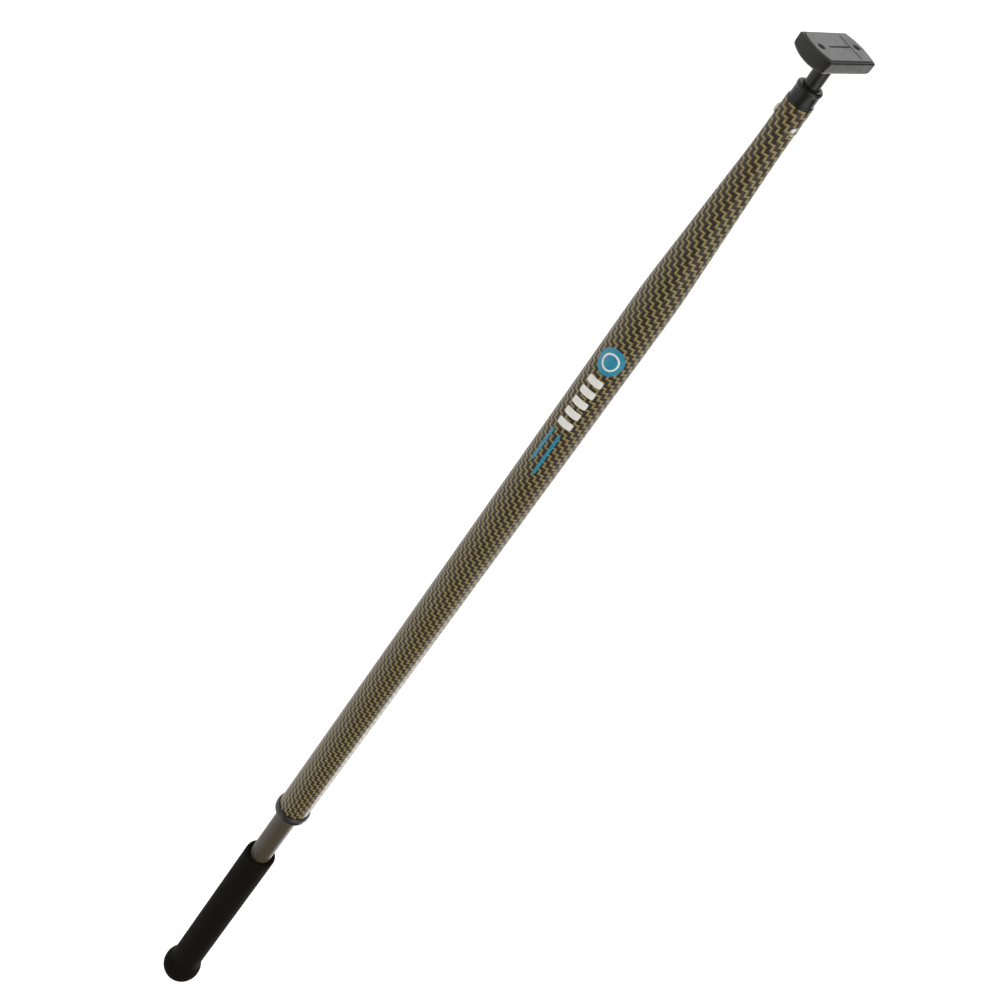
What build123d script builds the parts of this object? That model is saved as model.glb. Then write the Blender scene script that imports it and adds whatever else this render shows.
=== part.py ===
from build123d import *
import os
from math import cos, radians, sin, sqrt

# Telescopic tiller extension, in millimetres.
# +X runs along the pole from the mounting face to the ball end, +Y along the two screw holes,
# +Z across the width of the joint block. The origin is midway between the two screw holes.

# ---- joint block and its mounting plate ----
BLOCK_WIDTH = 24.8          # across Z, between the two straight side walls
BLOCK_CHORD = 38.2          # along Y, between the corners
BLOCK_LENGTH = 43.6         # along Y, over the bowed ends
BACK_WIDTH = 22.4           # the same three sizes where the drafted block ends
BACK_CHORD = 42.0
BACK_EDGE_ROUND = 2.6
SIDE_WALL = 7.8             # depth of a straight side wall
CROWN_DEPTH = 9.8           # depth at the top of the arched back
RIM_DROP = 0.5              # how far the rubber rim lies behind the plate's face
RIM_WIDTH = 1.7             # beside the plate, and beyond its ends
RIM_END = 1.3
RIM_ROUND = 0.6
FLARE_RADIUS = 6.2          # foot of the neck where it grows out of the block
PLATE_THICKNESS = 3.0
SCREW_SPACING = 30.5
SCREW_HOLE_RADIUS = 2.2
SCREW_SEAT_RADIUS = 4.3
SCREW_SEAT_DEPTH = 6.5
GROOVE_WIDTH = 1.0
GROOVE_DEPTH = 0.8
GROOVE_STEM_START = -9.0
GROOVE_BAR_Y = 9.7
GROOVE_BAR_LENGTH = 18.6

# ---- rubber neck and the plug that carries it ----
NECK_RADIUS = 4.65
NECK_START = 10.9
JOINT_GAP = 0.1             # gap left at each end of the part that bends
PLUG_START = 24.4
PLUG_BODY_RADIUS = 7.3
PLUG_LIP_RADIUS = 7.6
PLUG_FLANGE_RADIUS = 7.9
PLUG_BORE_RADIUS = 4.7
PLUG_END = 61.0
TAIL_END = 55.0

# ---- outer tube ----
TUBE_START = 35.3
TUBE_END = 727.0
TUBE_WALL = 1.25
HEAD_RADIUS = 8.0
TUBE_RADIUS = 12.5
TAPER_START = 65.0
TAPER_END = 173.5
TAPER_BLEND = 800.0         # radius of the soft blend at each end of the taper

# ---- blind rivets: distance along the pole and direction round it ----
RIVETS = ((44.0, 240.5), (47.8, 100.5))
RIVET_SHANK_RADIUS = 1.6
RIVET_HEAD_RADIUS = 2.8
RIVET_HEAD_HEIGHT = 1.3
RIVET_INNER_END = 2.6
MANDREL_RADIUS = 0.85
MANDREL_HEAD = 0.9
MANDREL_HEAD_RADIUS = 1.3

# ---- surface trim on the outer tube, turned to the same side ----
TRIM_DIRECTION = 151.7
TRIM_INNER = 12.52
TRIM_OUTER = 12.64
TRIM_REACH = 30.0           # longer than half of any trim piece
DISC_CENTRE = 221.2
DISC_OFFSET = -1.2
DISC_LENGTH = 19.6
DISC_WIDTH = 17.0
MARK_START = 238.4
MARK_PITCH = 9.15
MARK_COUNT = 5
MARK_LENGTH = 5.5
MARK_SPAN = 10.4
MARK_OFFSET = -2.0
LINE_START = 282.4
LINE_LENGTHS = (28.5, 38.3)
LINE_HEIGHT = 2.0
LINE_OFFSETS = (-6.4, -0.2)

# ---- collar, guide bush and wiper at the open end of the outer tube ----
COLLAR_RADIUS = 14.2
COLLAR_SHOULDER = 11.8      # radius where the front face turns into the round of the ring
COLLAR_LIP_START = 725.4
COLLAR_LIP_RADIUS = 13.0
COLLAR_END = 734.5
SKIRT_START = 655.0
SKIRT_RADIUS = 11.2
SKIRT_BORE = 10.3
COLLAR_MOUTH = 9.1
BUSH_BORE = 8.82
BUSH_END = 729.2
WIPER_PLACE = 731.7
WIPER_SECTION = 0.8
WIPER_RADIUS = 9.7

# ---- inner tube and grip ----
INNER_RADIUS = 8.75
INNER_BORE = 7.55
INNER_START = 298.0
INNER_END = 973.0
END_PLUG_DEPTH = 18.0
END_FLANGE = 5.0
END_FLANGE_RADIUS = 9.25
GRIP_START = 798.3
GRIP_RADIUS = 12.7
GRIP_RIM_ROUND = 2.6
BALL_RADIUS = 16.2
BALL_CENTRE = 989.2
BALL_BLEND = 14.0           # radius of the hollow where the grip runs into the ball

# ---- twist lock at the top of the inner tube ----
CAM_OFFSET = 0.9            # how far the stub stands off the pole's axis
CAM_RING_RADIUS = 10.85
STUB_RADIUS = 4.5
STUB_END = 272.1
WASHER_THICKNESS = 1.05
WASHER_RADIUS = 6.5
CAM_SCREW_RADIUS = 2.0
SCREW_HEAD = 2.4
SCREW_HEAD_RADIUS = 3.6
SCREW_DRIVE_RADIUS = 1.7
SCREW_REACH = 9.0
END_PLAY = 0.2              # play beside the rings that turn
LOCK_SHOULDER = 284.5
JOURNAL_START = 287.0
JOURNAL_RADIUS = 7.0
FLANGE_START = 295.5
LOCK_PLUG_DEPTH = 26.0      # how far the lock plug reaches into the inner tube
GLIDE_RADIUS = 11.15
SLIT_WIDTH = 1.5
PIN_PLACE = 310.0
PIN_RADIUS = 1.25
PIN_INNER_END = 3.6
RUNNING = 0.06              # radial clearance of the turning fits
SEATED = 0.05               # gap between pieces that are pushed or glued together
PRESSED = 0.02              # gap under the stretched-on grip


def turned(points):
    """A solid of revolution about X from its half profile, given as (x, radius) points."""
    return revolve(make_face(Polyline(*points, close=True)), Axis.X)


def ring(start, end, inner, outer):
    """A plain tube along X."""
    return turned([(start, inner), (end, inner), (end, outer), (start, outer)])


def rod(start, end, radius, offset_z=0.0):
    """A solid cylinder along X."""
    solid = extrude(Plane.YZ.offset(start) * Circle(radius), end - start)
    return Pos(0, 0, offset_z) * solid


def radial_rod(place, direction, low, high, radius):
    """A cylinder that points straight out from the pole's axis."""
    angle = radians(direction)
    outward = Vector(0, cos(angle), sin(angle))
    base = Plane(origin=Vector(place, 0, 0) + outward * low, x_dir=(1, 0, 0), z_dir=outward)
    return extrude(base * Circle(radius), high - low)


def block_outline(inset, end_inset, width=BLOCK_WIDTH, chord=BLOCK_CHORD):
    """The face outline in YZ: two straight sides and two bowed ends."""
    half_width = width / 2 - inset
    half_chord = chord / 2 - end_inset
    half_length = BLOCK_LENGTH / 2 - end_inset
    sides = Line((-half_chord, half_width), (half_chord, half_width))
    sides += ThreePointArc((half_chord, half_width), (half_length, 0), (half_chord, -half_width))
    sides += Line((half_chord, -half_width), (-half_chord, -half_width))
    sides += ThreePointArc((-half_chord, -half_width), (-half_length, 0), (-half_chord, half_width))
    return make_face(sides)


def block_slab(gap, start, end):
    """The plate's outline, with a gap round it, carried along X from start to end."""
    return extrude(Plane.YZ.offset(start) * block_outline(RIM_WIDTH + gap, RIM_END + gap), end - start)


def screw_rods(radius, start, end):
    """Both screw holes, or their seats, as solids to cut away."""
    rods = Part()
    for side in (-1, 1):
        rods += Pos(0, side * SCREW_SPACING / 2, 0) * rod(start, end, radius)
    return rods


def make_joint_block():
    half = BLOCK_WIDTH / 2
    arch = Line((0, -half), (SIDE_WALL, -half))
    arch += ThreePointArc((SIDE_WALL, -half), (CROWN_DEPTH, 0), (SIDE_WALL, half))
    arch += Line((SIDE_WALL, half), (0, half))
    arch += Line((0, half), (0, -half))
    profile = Plane.XZ * make_face(arch)
    front_face = Plane.YZ.offset(RIM_DROP) * block_outline(0, 0)
    back_face = Plane.YZ.offset(CROWN_DEPTH + 0.1) * block_outline(0, 0, BACK_WIDTH, BACK_CHORD)
    body = loft([front_face, back_face])
    body = body & extrude(profile, BLOCK_LENGTH / 2 + 1, both=True)
    back = body.edges().filter_by_position(Axis.X, SIDE_WALL - 0.5, CROWN_DEPTH + 0.1)
    body = fillet(back, BACK_EDGE_ROUND)
    front = body.edges().filter_by_position(Axis.X, RIM_DROP - 0.01, RIM_DROP + 0.01)
    body = fillet(front, RIM_ROUND)
    root = NECK_START - JOINT_GAP
    flare_start = PLATE_THICKNESS + 1
    body += turned([
        (flare_start, 0), (flare_start, FLARE_RADIUS), (CROWN_DEPTH - 0.6, FLARE_RADIUS),
        (root, NECK_RADIUS), (root, 0),
    ])
    body -= block_slab(0, 0, PLATE_THICKNESS)
    body -= screw_rods(SCREW_HOLE_RADIUS, 0, CROWN_DEPTH + 1)
    body -= screw_rods(SCREW_SEAT_RADIUS, SCREW_SEAT_DEPTH, CROWN_DEPTH + 1)
    return body


def make_mounting_plate():
    plate = block_slab(SEATED, 0, PLATE_THICKNESS)
    plate -= screw_rods(SCREW_HOLE_RADIUS, -1, PLATE_THICKNESS + 1)
    stem_length = GROOVE_BAR_Y - GROOVE_STEM_START
    stem_middle = (GROOVE_BAR_Y + GROOVE_STEM_START) / 2
    plate -= Pos(0, stem_middle, 0) * Box(2 * GROOVE_DEPTH, stem_length, GROOVE_WIDTH)
    plate -= Pos(0, GROOVE_BAR_Y, 0) * Box(2 * GROOVE_DEPTH, GROOVE_WIDTH, GROOVE_BAR_LENGTH)
    return plate


def rivet_hole(place, direction):
    return radial_rod(place, direction, 0, HEAD_RADIUS + 2, RIVET_SHANK_RADIUS + SEATED)


def make_neck():
    return rod(NECK_START, PLUG_START - JOINT_GAP, NECK_RADIUS)


def make_neck_tail():
    tail = rod(PLUG_START, TAIL_END, NECK_RADIUS)
    for place, direction in RIVETS:
        tail -= rivet_hole(place, direction)
    return tail


def make_stem_plug():
    insert = HEAD_RADIUS - TUBE_WALL - SEATED
    plug = turned([
        (PLUG_START, PLUG_BORE_RADIUS), (PLUG_START, PLUG_LIP_RADIUS - 0.8),
        (PLUG_START + 0.8, PLUG_LIP_RADIUS), (PLUG_START + 2.2, PLUG_LIP_RADIUS),
        (PLUG_START + 2.7, PLUG_BODY_RADIUS), (TUBE_START - 1.9, PLUG_BODY_RADIUS),
        (TUBE_START - 1.4, PLUG_FLANGE_RADIUS), (TUBE_START, PLUG_FLANGE_RADIUS),
        (TUBE_START, insert), (PLUG_END - 1, insert), (PLUG_END, insert - 0.8),
        (PLUG_END, PLUG_BORE_RADIUS),
    ])
    for place, direction in RIVETS:
        plug -= rivet_hole(place, direction)
    return plug


def make_rivets():
    rivets = []
    dome = (RIVET_HEAD_RADIUS ** 2 + RIVET_HEAD_HEIGHT ** 2) / (2 * RIVET_HEAD_HEIGHT)
    for place, direction in RIVETS:
        angle = radians(direction)
        outward = Vector(0, cos(angle), sin(angle))
        seat = Plane(origin=Vector(place, 0, 0) + outward * HEAD_RADIUS, x_dir=(1, 0, 0), z_dir=outward)
        cap = Pos(0, 0, RIVET_HEAD_HEIGHT - dome) * Sphere(dome)
        cap = cap & (Pos(0, 0, dome) * Box(2 * dome, 2 * dome, 2 * dome))
        rivet = seat * cap
        rivet += radial_rod(place, direction, RIVET_INNER_END, HEAD_RADIUS + 0.1, RIVET_SHANK_RADIUS)
        rivet -= radial_rod(place, direction, RIVET_INNER_END - 1, HEAD_RADIUS + 3, MANDREL_RADIUS)
        rivets.append(rivet)
    return Compound(children=rivets)


def make_mandrels():
    mandrels = []
    for place, direction in RIVETS:
        top = HEAD_RADIUS + RIVET_HEAD_HEIGHT - 0.3
        tip = RIVET_INNER_END - MANDREL_HEAD
        stem = radial_rod(place, direction, tip, top, MANDREL_RADIUS - PRESSED)
        stem += radial_rod(place, direction, tip, RIVET_INNER_END - SEATED, MANDREL_HEAD_RADIUS)
        mandrels.append(stem)
    return Compound(children=mandrels)


def tube_wall_line(inset):
    """The tube's half profile at a depth below its skin."""
    return FilletPolyline(
        (TUBE_START, HEAD_RADIUS - inset), (TAPER_START, HEAD_RADIUS - inset),
        (TAPER_END, TUBE_RADIUS - inset), (TUBE_END, TUBE_RADIUS - inset),
        radius=TAPER_BLEND,
    )


def make_outer_tube():
    skin = tube_wall_line(0)
    bore = tube_wall_line(TUBE_WALL)
    ends = Line(skin @ 0, bore @ 0) + Line(skin @ 1, bore @ 1)
    tube = revolve(make_face(skin + bore + ends), Axis.X)
    for place, direction in RIVETS:
        tube -= rivet_hole(place, direction)
    return tube


def trim_patch(place, offset, shape):
    """A thin patch on the tube: a flat shape pressed down on the trim side."""
    angle = radians(TRIM_DIRECTION)
    outward = Vector(0, cos(angle), sin(angle))
    base = Plane(origin=(place, 0, 0), x_dir=(1, 0, 0), z_dir=outward)
    column = base * extrude(Pos(0, offset, 0) * shape, TUBE_RADIUS + 5)
    return column & ring(place - TRIM_REACH, place + TRIM_REACH, TRIM_INNER, TRIM_OUTER)


def make_trim_disc():
    return trim_patch(DISC_CENTRE, DISC_OFFSET, Ellipse(DISC_LENGTH / 2, DISC_WIDTH / 2))


def make_trim_bars():
    bar = RectangleRounded(MARK_LENGTH, MARK_SPAN, 1.0)
    places = [MARK_START + index * MARK_PITCH for index in range(MARK_COUNT)]
    return Compound(children=[trim_patch(place, MARK_OFFSET, bar) for place in places])


def make_trim_lines():
    lines = []
    for length, offset in zip(LINE_LENGTHS, LINE_OFFSETS):
        line = RectangleRounded(length, LINE_HEIGHT, 0.6)
        lines.append(trim_patch(LINE_START + length / 2, offset, line))
    return Compound(children=lines)


def make_collar():
    groove = WIPER_SECTION + 0.15
    depth = WIPER_RADIUS + WIPER_SECTION + 0.1
    rim = Polyline(
        (SKIRT_START, SKIRT_BORE), (BUSH_END + 0.1, SKIRT_BORE), (BUSH_END + 0.1, COLLAR_MOUTH),
        (WIPER_PLACE - groove, COLLAR_MOUTH), (WIPER_PLACE - groove, depth),
        (WIPER_PLACE + groove, depth), (WIPER_PLACE + groove, COLLAR_MOUTH),
        (COLLAR_END, COLLAR_MOUTH), (COLLAR_END, COLLAR_SHOULDER),
    )
    crown = (COLLAR_LIP_START + COLLAR_END) / 2 - 0.5
    rim += ThreePointArc(
        (COLLAR_END, COLLAR_SHOULDER), (crown, COLLAR_RADIUS), (COLLAR_LIP_START, COLLAR_LIP_RADIUS))
    rim += Polyline(
        (COLLAR_LIP_START, COLLAR_LIP_RADIUS), (COLLAR_LIP_START, TUBE_RADIUS + SEATED),
        (TUBE_END + SEATED, TUBE_RADIUS + SEATED), (TUBE_END + SEATED, SKIRT_RADIUS),
        (SKIRT_START, SKIRT_RADIUS), (SKIRT_START, SKIRT_BORE),
    )
    return revolve(make_face(rim), Axis.X)


def slit(start, end, outer):
    """The gap that lets a split ring spring open, on the side that faces down."""
    length = end - start + 2
    return Pos((start + end) / 2, 0, -outer / 2) * Box(length, SLIT_WIDTH, outer + 1)


def make_guide_bush():
    bush = ring(SKIRT_START, BUSH_END, BUSH_BORE, SKIRT_BORE - SEATED)
    return bush - slit(SKIRT_START, BUSH_END, SKIRT_BORE)


def make_wiper_ring():
    return Pos(WIPER_PLACE, 0, 0) * Rot(0, 90, 0) * Torus(WIPER_RADIUS, WIPER_SECTION)


def make_inner_tube():
    tube = ring(INNER_START, INNER_END, INNER_BORE, INNER_RADIUS)
    for side in (0, 180):
        tube -= radial_rod(PIN_PLACE, side, 0, INNER_RADIUS + 2, PIN_RADIUS + SEATED)
    return tube


def make_lock_plug():
    plug = rod(INNER_START, INNER_START + LOCK_PLUG_DEPTH, INNER_BORE - SEATED)
    plug += rod(FLANGE_START, INNER_START, INNER_RADIUS)
    plug += rod(JOURNAL_START, FLANGE_START, JOURNAL_RADIUS)
    plug += rod(LOCK_SHOULDER, JOURNAL_START, INNER_RADIUS)
    plug += rod(STUB_END, LOCK_SHOULDER, STUB_RADIUS, CAM_OFFSET)
    plug -= rod(STUB_END, STUB_END + SCREW_REACH + 1, CAM_SCREW_RADIUS + SEATED, CAM_OFFSET)
    for side in (0, 180):
        plug -= radial_rod(PIN_PLACE, side, PIN_INNER_END - 0.1, INNER_RADIUS, PIN_RADIUS + SEATED)
    return plug


def make_lock_pins():
    flush = INNER_RADIUS - 0.15
    pins = [radial_rod(PIN_PLACE, side, PIN_INNER_END, flush, PIN_RADIUS) for side in (0, 180)]
    return Compound(children=pins)


def make_glide_ring():
    start = JOURNAL_START + END_PLAY
    end = FLANGE_START - END_PLAY
    glide = ring(start, end, JOURNAL_RADIUS + RUNNING, GLIDE_RADIUS)
    return glide - slit(start, end, GLIDE_RADIUS)


def make_cam_ring():
    start = STUB_END + END_PLAY
    end = LOCK_SHOULDER - END_PLAY
    cam = rod(start, end, CAM_RING_RADIUS) - rod(start, end, STUB_RADIUS + RUNNING, CAM_OFFSET)
    return cam - slit(start, end, CAM_RING_RADIUS)


def make_cam_washer():
    washer = ring(STUB_END - WASHER_THICKNESS, STUB_END - SEATED, CAM_SCREW_RADIUS + 0.1, WASHER_RADIUS)
    return Pos(0, 0, CAM_OFFSET) * washer


def make_cam_screw():
    seat = STUB_END - WASHER_THICKNESS - SEATED
    head_end = seat - SCREW_HEAD
    screw = rod(head_end, seat, SCREW_HEAD_RADIUS, CAM_OFFSET)
    screw += rod(seat, STUB_END + SCREW_REACH, CAM_SCREW_RADIUS, CAM_OFFSET)
    drive = extrude(Plane.YZ.offset(head_end) * RegularPolygon(SCREW_DRIVE_RADIUS, 6), SCREW_HEAD * 0.7)
    return screw - Pos(0, 0, CAM_OFFSET) * drive


def make_end_plug():
    """A plug in the tube's mouth with a flange that caps the tube's end."""
    return turned([
        (INNER_END - END_PLUG_DEPTH, 0), (INNER_END - END_PLUG_DEPTH, INNER_BORE - SEATED),
        (INNER_END + SEATED, INNER_BORE - SEATED), (INNER_END + SEATED, END_FLANGE_RADIUS),
        (INNER_END + END_FLANGE, END_FLANGE_RADIUS), (INNER_END + END_FLANGE, 0),
    ])


def make_grip():
    bore = INNER_RADIUS + PRESSED
    cavity = END_FLANGE_RADIUS + SEATED
    floor = INNER_END + END_FLANGE + SEATED
    corner = GRIP_RIM_ROUND * (1 - sin(radians(45)))
    blend_back = sqrt((BALL_RADIUS + BALL_BLEND) ** 2 - (GRIP_RADIUS + BALL_BLEND) ** 2)
    blend_start = BALL_CENTRE - blend_back
    share = BALL_RADIUS / (BALL_RADIUS + BALL_BLEND)
    blend_end = (BALL_CENTRE - blend_back * share, (GRIP_RADIUS + BALL_BLEND) * share)
    outline = Polyline(
        (BALL_CENTRE + BALL_RADIUS, 0), (floor, 0), (floor, cavity),
        (INNER_END - SEATED, cavity), (INNER_END - SEATED, bore), (GRIP_START, bore),
        (GRIP_START, GRIP_RADIUS - GRIP_RIM_ROUND),
    )
    outline += ThreePointArc(
        (GRIP_START, GRIP_RADIUS - GRIP_RIM_ROUND), (GRIP_START + corner, GRIP_RADIUS - corner),
        (GRIP_START + GRIP_RIM_ROUND, GRIP_RADIUS))
    side = Line((GRIP_START + GRIP_RIM_ROUND, GRIP_RADIUS), (blend_start, GRIP_RADIUS))
    hollow = TangentArc((blend_start, GRIP_RADIUS), blend_end, tangent=(1, 0))
    ball = ThreePointArc(blend_end, (BALL_CENTRE, BALL_RADIUS), (BALL_CENTRE + BALL_RADIUS, 0))
    return revolve(make_face(outline + side + hollow + ball), Axis.X)


PIECES = {
    "joint_block": make_joint_block,
    "mounting_plate": make_mounting_plate,
    "neck": make_neck,
    "neck_tail": make_neck_tail,
    "stem_plug": make_stem_plug,
    "plug_rivets": make_rivets,
    "rivet_mandrels": make_mandrels,
    "outer_tube": make_outer_tube,
    "trim_disc": make_trim_disc,
    "trim_bars": make_trim_bars,
    "trim_lines": make_trim_lines,
    "collar": make_collar,
    "guide_bush": make_guide_bush,
    "wiper_ring": make_wiper_ring,
    "glide_ring": make_glide_ring,
    "cam_ring": make_cam_ring,
    "cam_washer": make_cam_washer,
    "cam_screw": make_cam_screw,
    "lock_plug": make_lock_plug,
    "lock_pins": make_lock_pins,
    "inner_tube": make_inner_tube,
    "end_plug": make_end_plug,
    "grip": make_grip,
}

os.makedirs("parts", exist_ok=True)
for name, make in PIECES.items():
    export_step(make(), f"parts/{name}.step")
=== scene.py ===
"""Looks of a telescopic tiller extension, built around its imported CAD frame.

The pole lies along +X from the mounting face of its rubber joint to the ball end of its grip.
All lengths are in metres unless a name says otherwise.
"""

import logging
import math
from dataclasses import dataclass
from enum import Enum

import bmesh
import bpy
from mathutils import Matrix, Vector


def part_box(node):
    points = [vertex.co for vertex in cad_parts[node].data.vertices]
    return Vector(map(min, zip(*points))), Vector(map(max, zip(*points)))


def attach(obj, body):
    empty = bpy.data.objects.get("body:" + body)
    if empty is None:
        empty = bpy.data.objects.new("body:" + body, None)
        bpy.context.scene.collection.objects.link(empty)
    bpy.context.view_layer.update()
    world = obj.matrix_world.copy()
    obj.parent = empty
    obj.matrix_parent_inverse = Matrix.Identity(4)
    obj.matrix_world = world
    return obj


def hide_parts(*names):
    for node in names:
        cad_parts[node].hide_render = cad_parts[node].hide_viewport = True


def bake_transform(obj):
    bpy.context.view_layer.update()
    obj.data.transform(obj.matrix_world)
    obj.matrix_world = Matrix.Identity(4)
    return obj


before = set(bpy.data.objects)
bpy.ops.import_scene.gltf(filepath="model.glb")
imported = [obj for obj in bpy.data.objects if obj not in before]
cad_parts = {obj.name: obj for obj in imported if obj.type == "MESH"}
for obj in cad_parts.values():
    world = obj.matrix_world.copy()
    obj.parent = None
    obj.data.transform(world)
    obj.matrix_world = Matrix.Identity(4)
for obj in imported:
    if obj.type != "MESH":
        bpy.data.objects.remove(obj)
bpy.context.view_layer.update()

LOG = logging.getLogger("tiller_extension")

Profile = list[tuple[float, float]]

# Direction round the pole, by the right-hand rule about +X from +Y, that the printed trim faces.
TRIM_FACING = math.radians(151.7)

# Points closer together than this are one point, and a smaller radius is on the axis.
WELD_DISTANCE = 1e-7


class Body(str, Enum):
    """The rigid bodies that the modelled pieces ride on."""

    JOINT_BASE = "joint_base"
    RUBBER_NECK = "rubber_neck"
    OUTER_POLE = "outer_pole"
    INNER_POLE = "inner_pole"


class Drawing(str, Enum):
    """The way in which the fine lines of a metal surface run."""

    ALONG_POLE = "along the pole"
    EVERY_WAY = "every way"


# ---------------------------------------------------------------------------------------------
# Finishes
# ---------------------------------------------------------------------------------------------


def new_material(name: str) -> bpy.types.Material:
    """Start a material with an empty node tree.

    Args:
        name: The material's name.

    Returns:
        The new material.
    """
    material = bpy.data.materials.new(name)
    material.use_nodes = True
    material.node_tree.nodes.clear()
    return material


@dataclass(frozen=True)
class MouldedSkin:
    """A moulded rubber or plastic skin: fine grain, soft blotches, light scuffs and painted shade in its
    recesses.
    """

    name: str
    colour: tuple[float, float, float]
    worn_colour: tuple[float, float, float]
    roughness: float
    grain_size: float
    grain_depth: float
    scuff_share: float = 0.25
    ior: float = 1.4
    # How far the painted shade in recesses reaches.
    recess_reach: float = 0.0025

    def material(self) -> bpy.types.Material:
        """Build the skin's node tree.

        Returns:
            The finished material.
        """
        material = new_material(self.name)
        nodes, links = material.node_tree.nodes, material.node_tree.links

        output = nodes.new("ShaderNodeOutputMaterial")
        output.label = "Moulded surface"
        shader = nodes.new("ShaderNodeBsdfPrincipled")
        shader.label = "Moulded skin"
        place = nodes.new("ShaderNodeTexCoord")
        place.label = "Place on the piece"

        blotch = nodes.new("ShaderNodeTexNoise")
        blotch.label = "Slow change of tone from handling"
        tone = nodes.new("ShaderNodeMapRange")
        tone.label = "Share of worn tone"
        blend = nodes.new("ShaderNodeMix")
        blend.label = "Fresh to worn tone"
        tone_group = nodes.new("NodeFrame")
        tone_group.label = "Tone"

        # Painted shade: ambient occlusion darkens the colour to near black in recesses, holes and corners.
        recess = nodes.new("ShaderNodeAmbientOcclusion")
        recess.label = "Open surface or recess"
        recess_shade_share = nodes.new("ShaderNodeMapRange")
        recess_shade_share.label = "Where painted shade falls"
        painted_recess_shade = nodes.new("ShaderNodeMix")
        painted_recess_shade.label = "Painted shade in the recesses"
        painted_shade_group = nodes.new("NodeFrame")
        painted_shade_group.label = "Recesses"

        scuff = nodes.new("ShaderNodeTexNoise")
        scuff.label = "Scuffed patches"
        shine = nodes.new("ShaderNodeMapRange")
        shine.label = "Rubbed smooth to matte"
        shine_group = nodes.new("NodeFrame")
        shine_group.label = "Shine"

        grain = nodes.new("ShaderNodeTexVoronoi")
        grain.label = "Mould grain pebbles"
        powder = nodes.new("ShaderNodeTexNoise")
        powder.label = "Powdery fine grain"
        mixed_grain = nodes.new("ShaderNodeMath")
        mixed_grain.label = "Pebbles and powder together"
        relief = nodes.new("ShaderNodeBump")
        relief.label = "Grain relief"
        relief_group = nodes.new("NodeFrame")
        relief_group.label = "Grain"

        for node, group, x, y in (
            (output, None, 900, 0), (shader, None, 600, 0), (place, None, -900, 0),
            (blotch, tone_group, -600, 350), (tone, tone_group, -350, 350),
            (blend, tone_group, -100, 350),
            (recess, painted_shade_group, -600, 700), (recess_shade_share, painted_shade_group, -350, 700),
            (painted_recess_shade, painted_shade_group, 250, 500),
            (scuff, shine_group, -600, 0), (shine, shine_group, -350, 0),
            (grain, relief_group, -600, -300), (powder, relief_group, -600, -600),
            (mixed_grain, relief_group, -300, -400), (relief, relief_group, 0, -400),
        ):
            node.parent = group
            node.location = (x, y)

        blotch.inputs["Scale"].default_value = 45.0
        blotch.inputs["Detail"].default_value = 4.0
        tone.inputs["From Min"].default_value = 0.42
        tone.inputs["From Max"].default_value = 0.72
        blend.data_type = "RGBA"
        blend.inputs["A"].default_value = (*self.colour, 1.0)
        blend.inputs["B"].default_value = (*self.worn_colour, 1.0)
        recess.samples = 8
        recess.inputs["Distance"].default_value = self.recess_reach
        recess_shade_share.inputs["From Min"].default_value = 0.2
        recess_shade_share.inputs["From Max"].default_value = 0.6
        painted_recess_shade.data_type = "RGBA"
        # Near-black colour of the painted shade in the recesses.
        painted_recess_shade.inputs["A"].default_value = (0.003, 0.0028, 0.0024, 1.0)
        scuff.inputs["Scale"].default_value = 260.0
        scuff.inputs["Detail"].default_value = 6.0
        scuff.inputs["Roughness"].default_value = 0.65
        shine.inputs["From Min"].default_value = 0.35
        shine.inputs["From Max"].default_value = 0.7
        shine.inputs["To Min"].default_value = self.roughness * (1.0 - self.scuff_share)
        shine.inputs["To Max"].default_value = min(1.0, self.roughness * (1.0 + self.scuff_share))
        grain.feature = "SMOOTH_F1"
        grain.inputs["Scale"].default_value = 1.0 / self.grain_size
        powder.inputs["Scale"].default_value = 2.5 / self.grain_size
        powder.inputs["Detail"].default_value = 3.0
        mixed_grain.operation = "MULTIPLY_ADD"
        mixed_grain.inputs[1].default_value = 0.6
        relief.inputs["Strength"].default_value = 0.6
        relief.inputs["Distance"].default_value = self.grain_depth
        shader.inputs["IOR"].default_value = self.ior

        links.new(place.outputs["Object"], blotch.inputs["Vector"])
        links.new(place.outputs["Object"], scuff.inputs["Vector"])
        links.new(place.outputs["Object"], grain.inputs["Vector"])
        links.new(place.outputs["Object"], powder.inputs["Vector"])
        links.new(blotch.outputs["Fac"], tone.inputs["Value"])
        links.new(tone.outputs["Result"], blend.inputs["Factor"])
        links.new(recess.outputs["AO"], recess_shade_share.inputs["Value"])
        links.new(recess_shade_share.outputs["Result"], painted_recess_shade.inputs["Factor"])
        links.new(blend.outputs["Result"], painted_recess_shade.inputs["B"])
        links.new(painted_recess_shade.outputs["Result"], shader.inputs["Base Color"])
        links.new(scuff.outputs["Fac"], shine.inputs["Value"])
        links.new(shine.outputs["Result"], shader.inputs["Roughness"])
        links.new(grain.outputs["Distance"], mixed_grain.inputs[0])
        links.new(powder.outputs["Fac"], mixed_grain.inputs[2])
        links.new(mixed_grain.outputs["Value"], relief.inputs["Height"])
        links.new(relief.outputs["Normal"], shader.inputs["Normal"])
        links.new(shader.outputs["BSDF"], output.inputs["Surface"])
        return material


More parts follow.
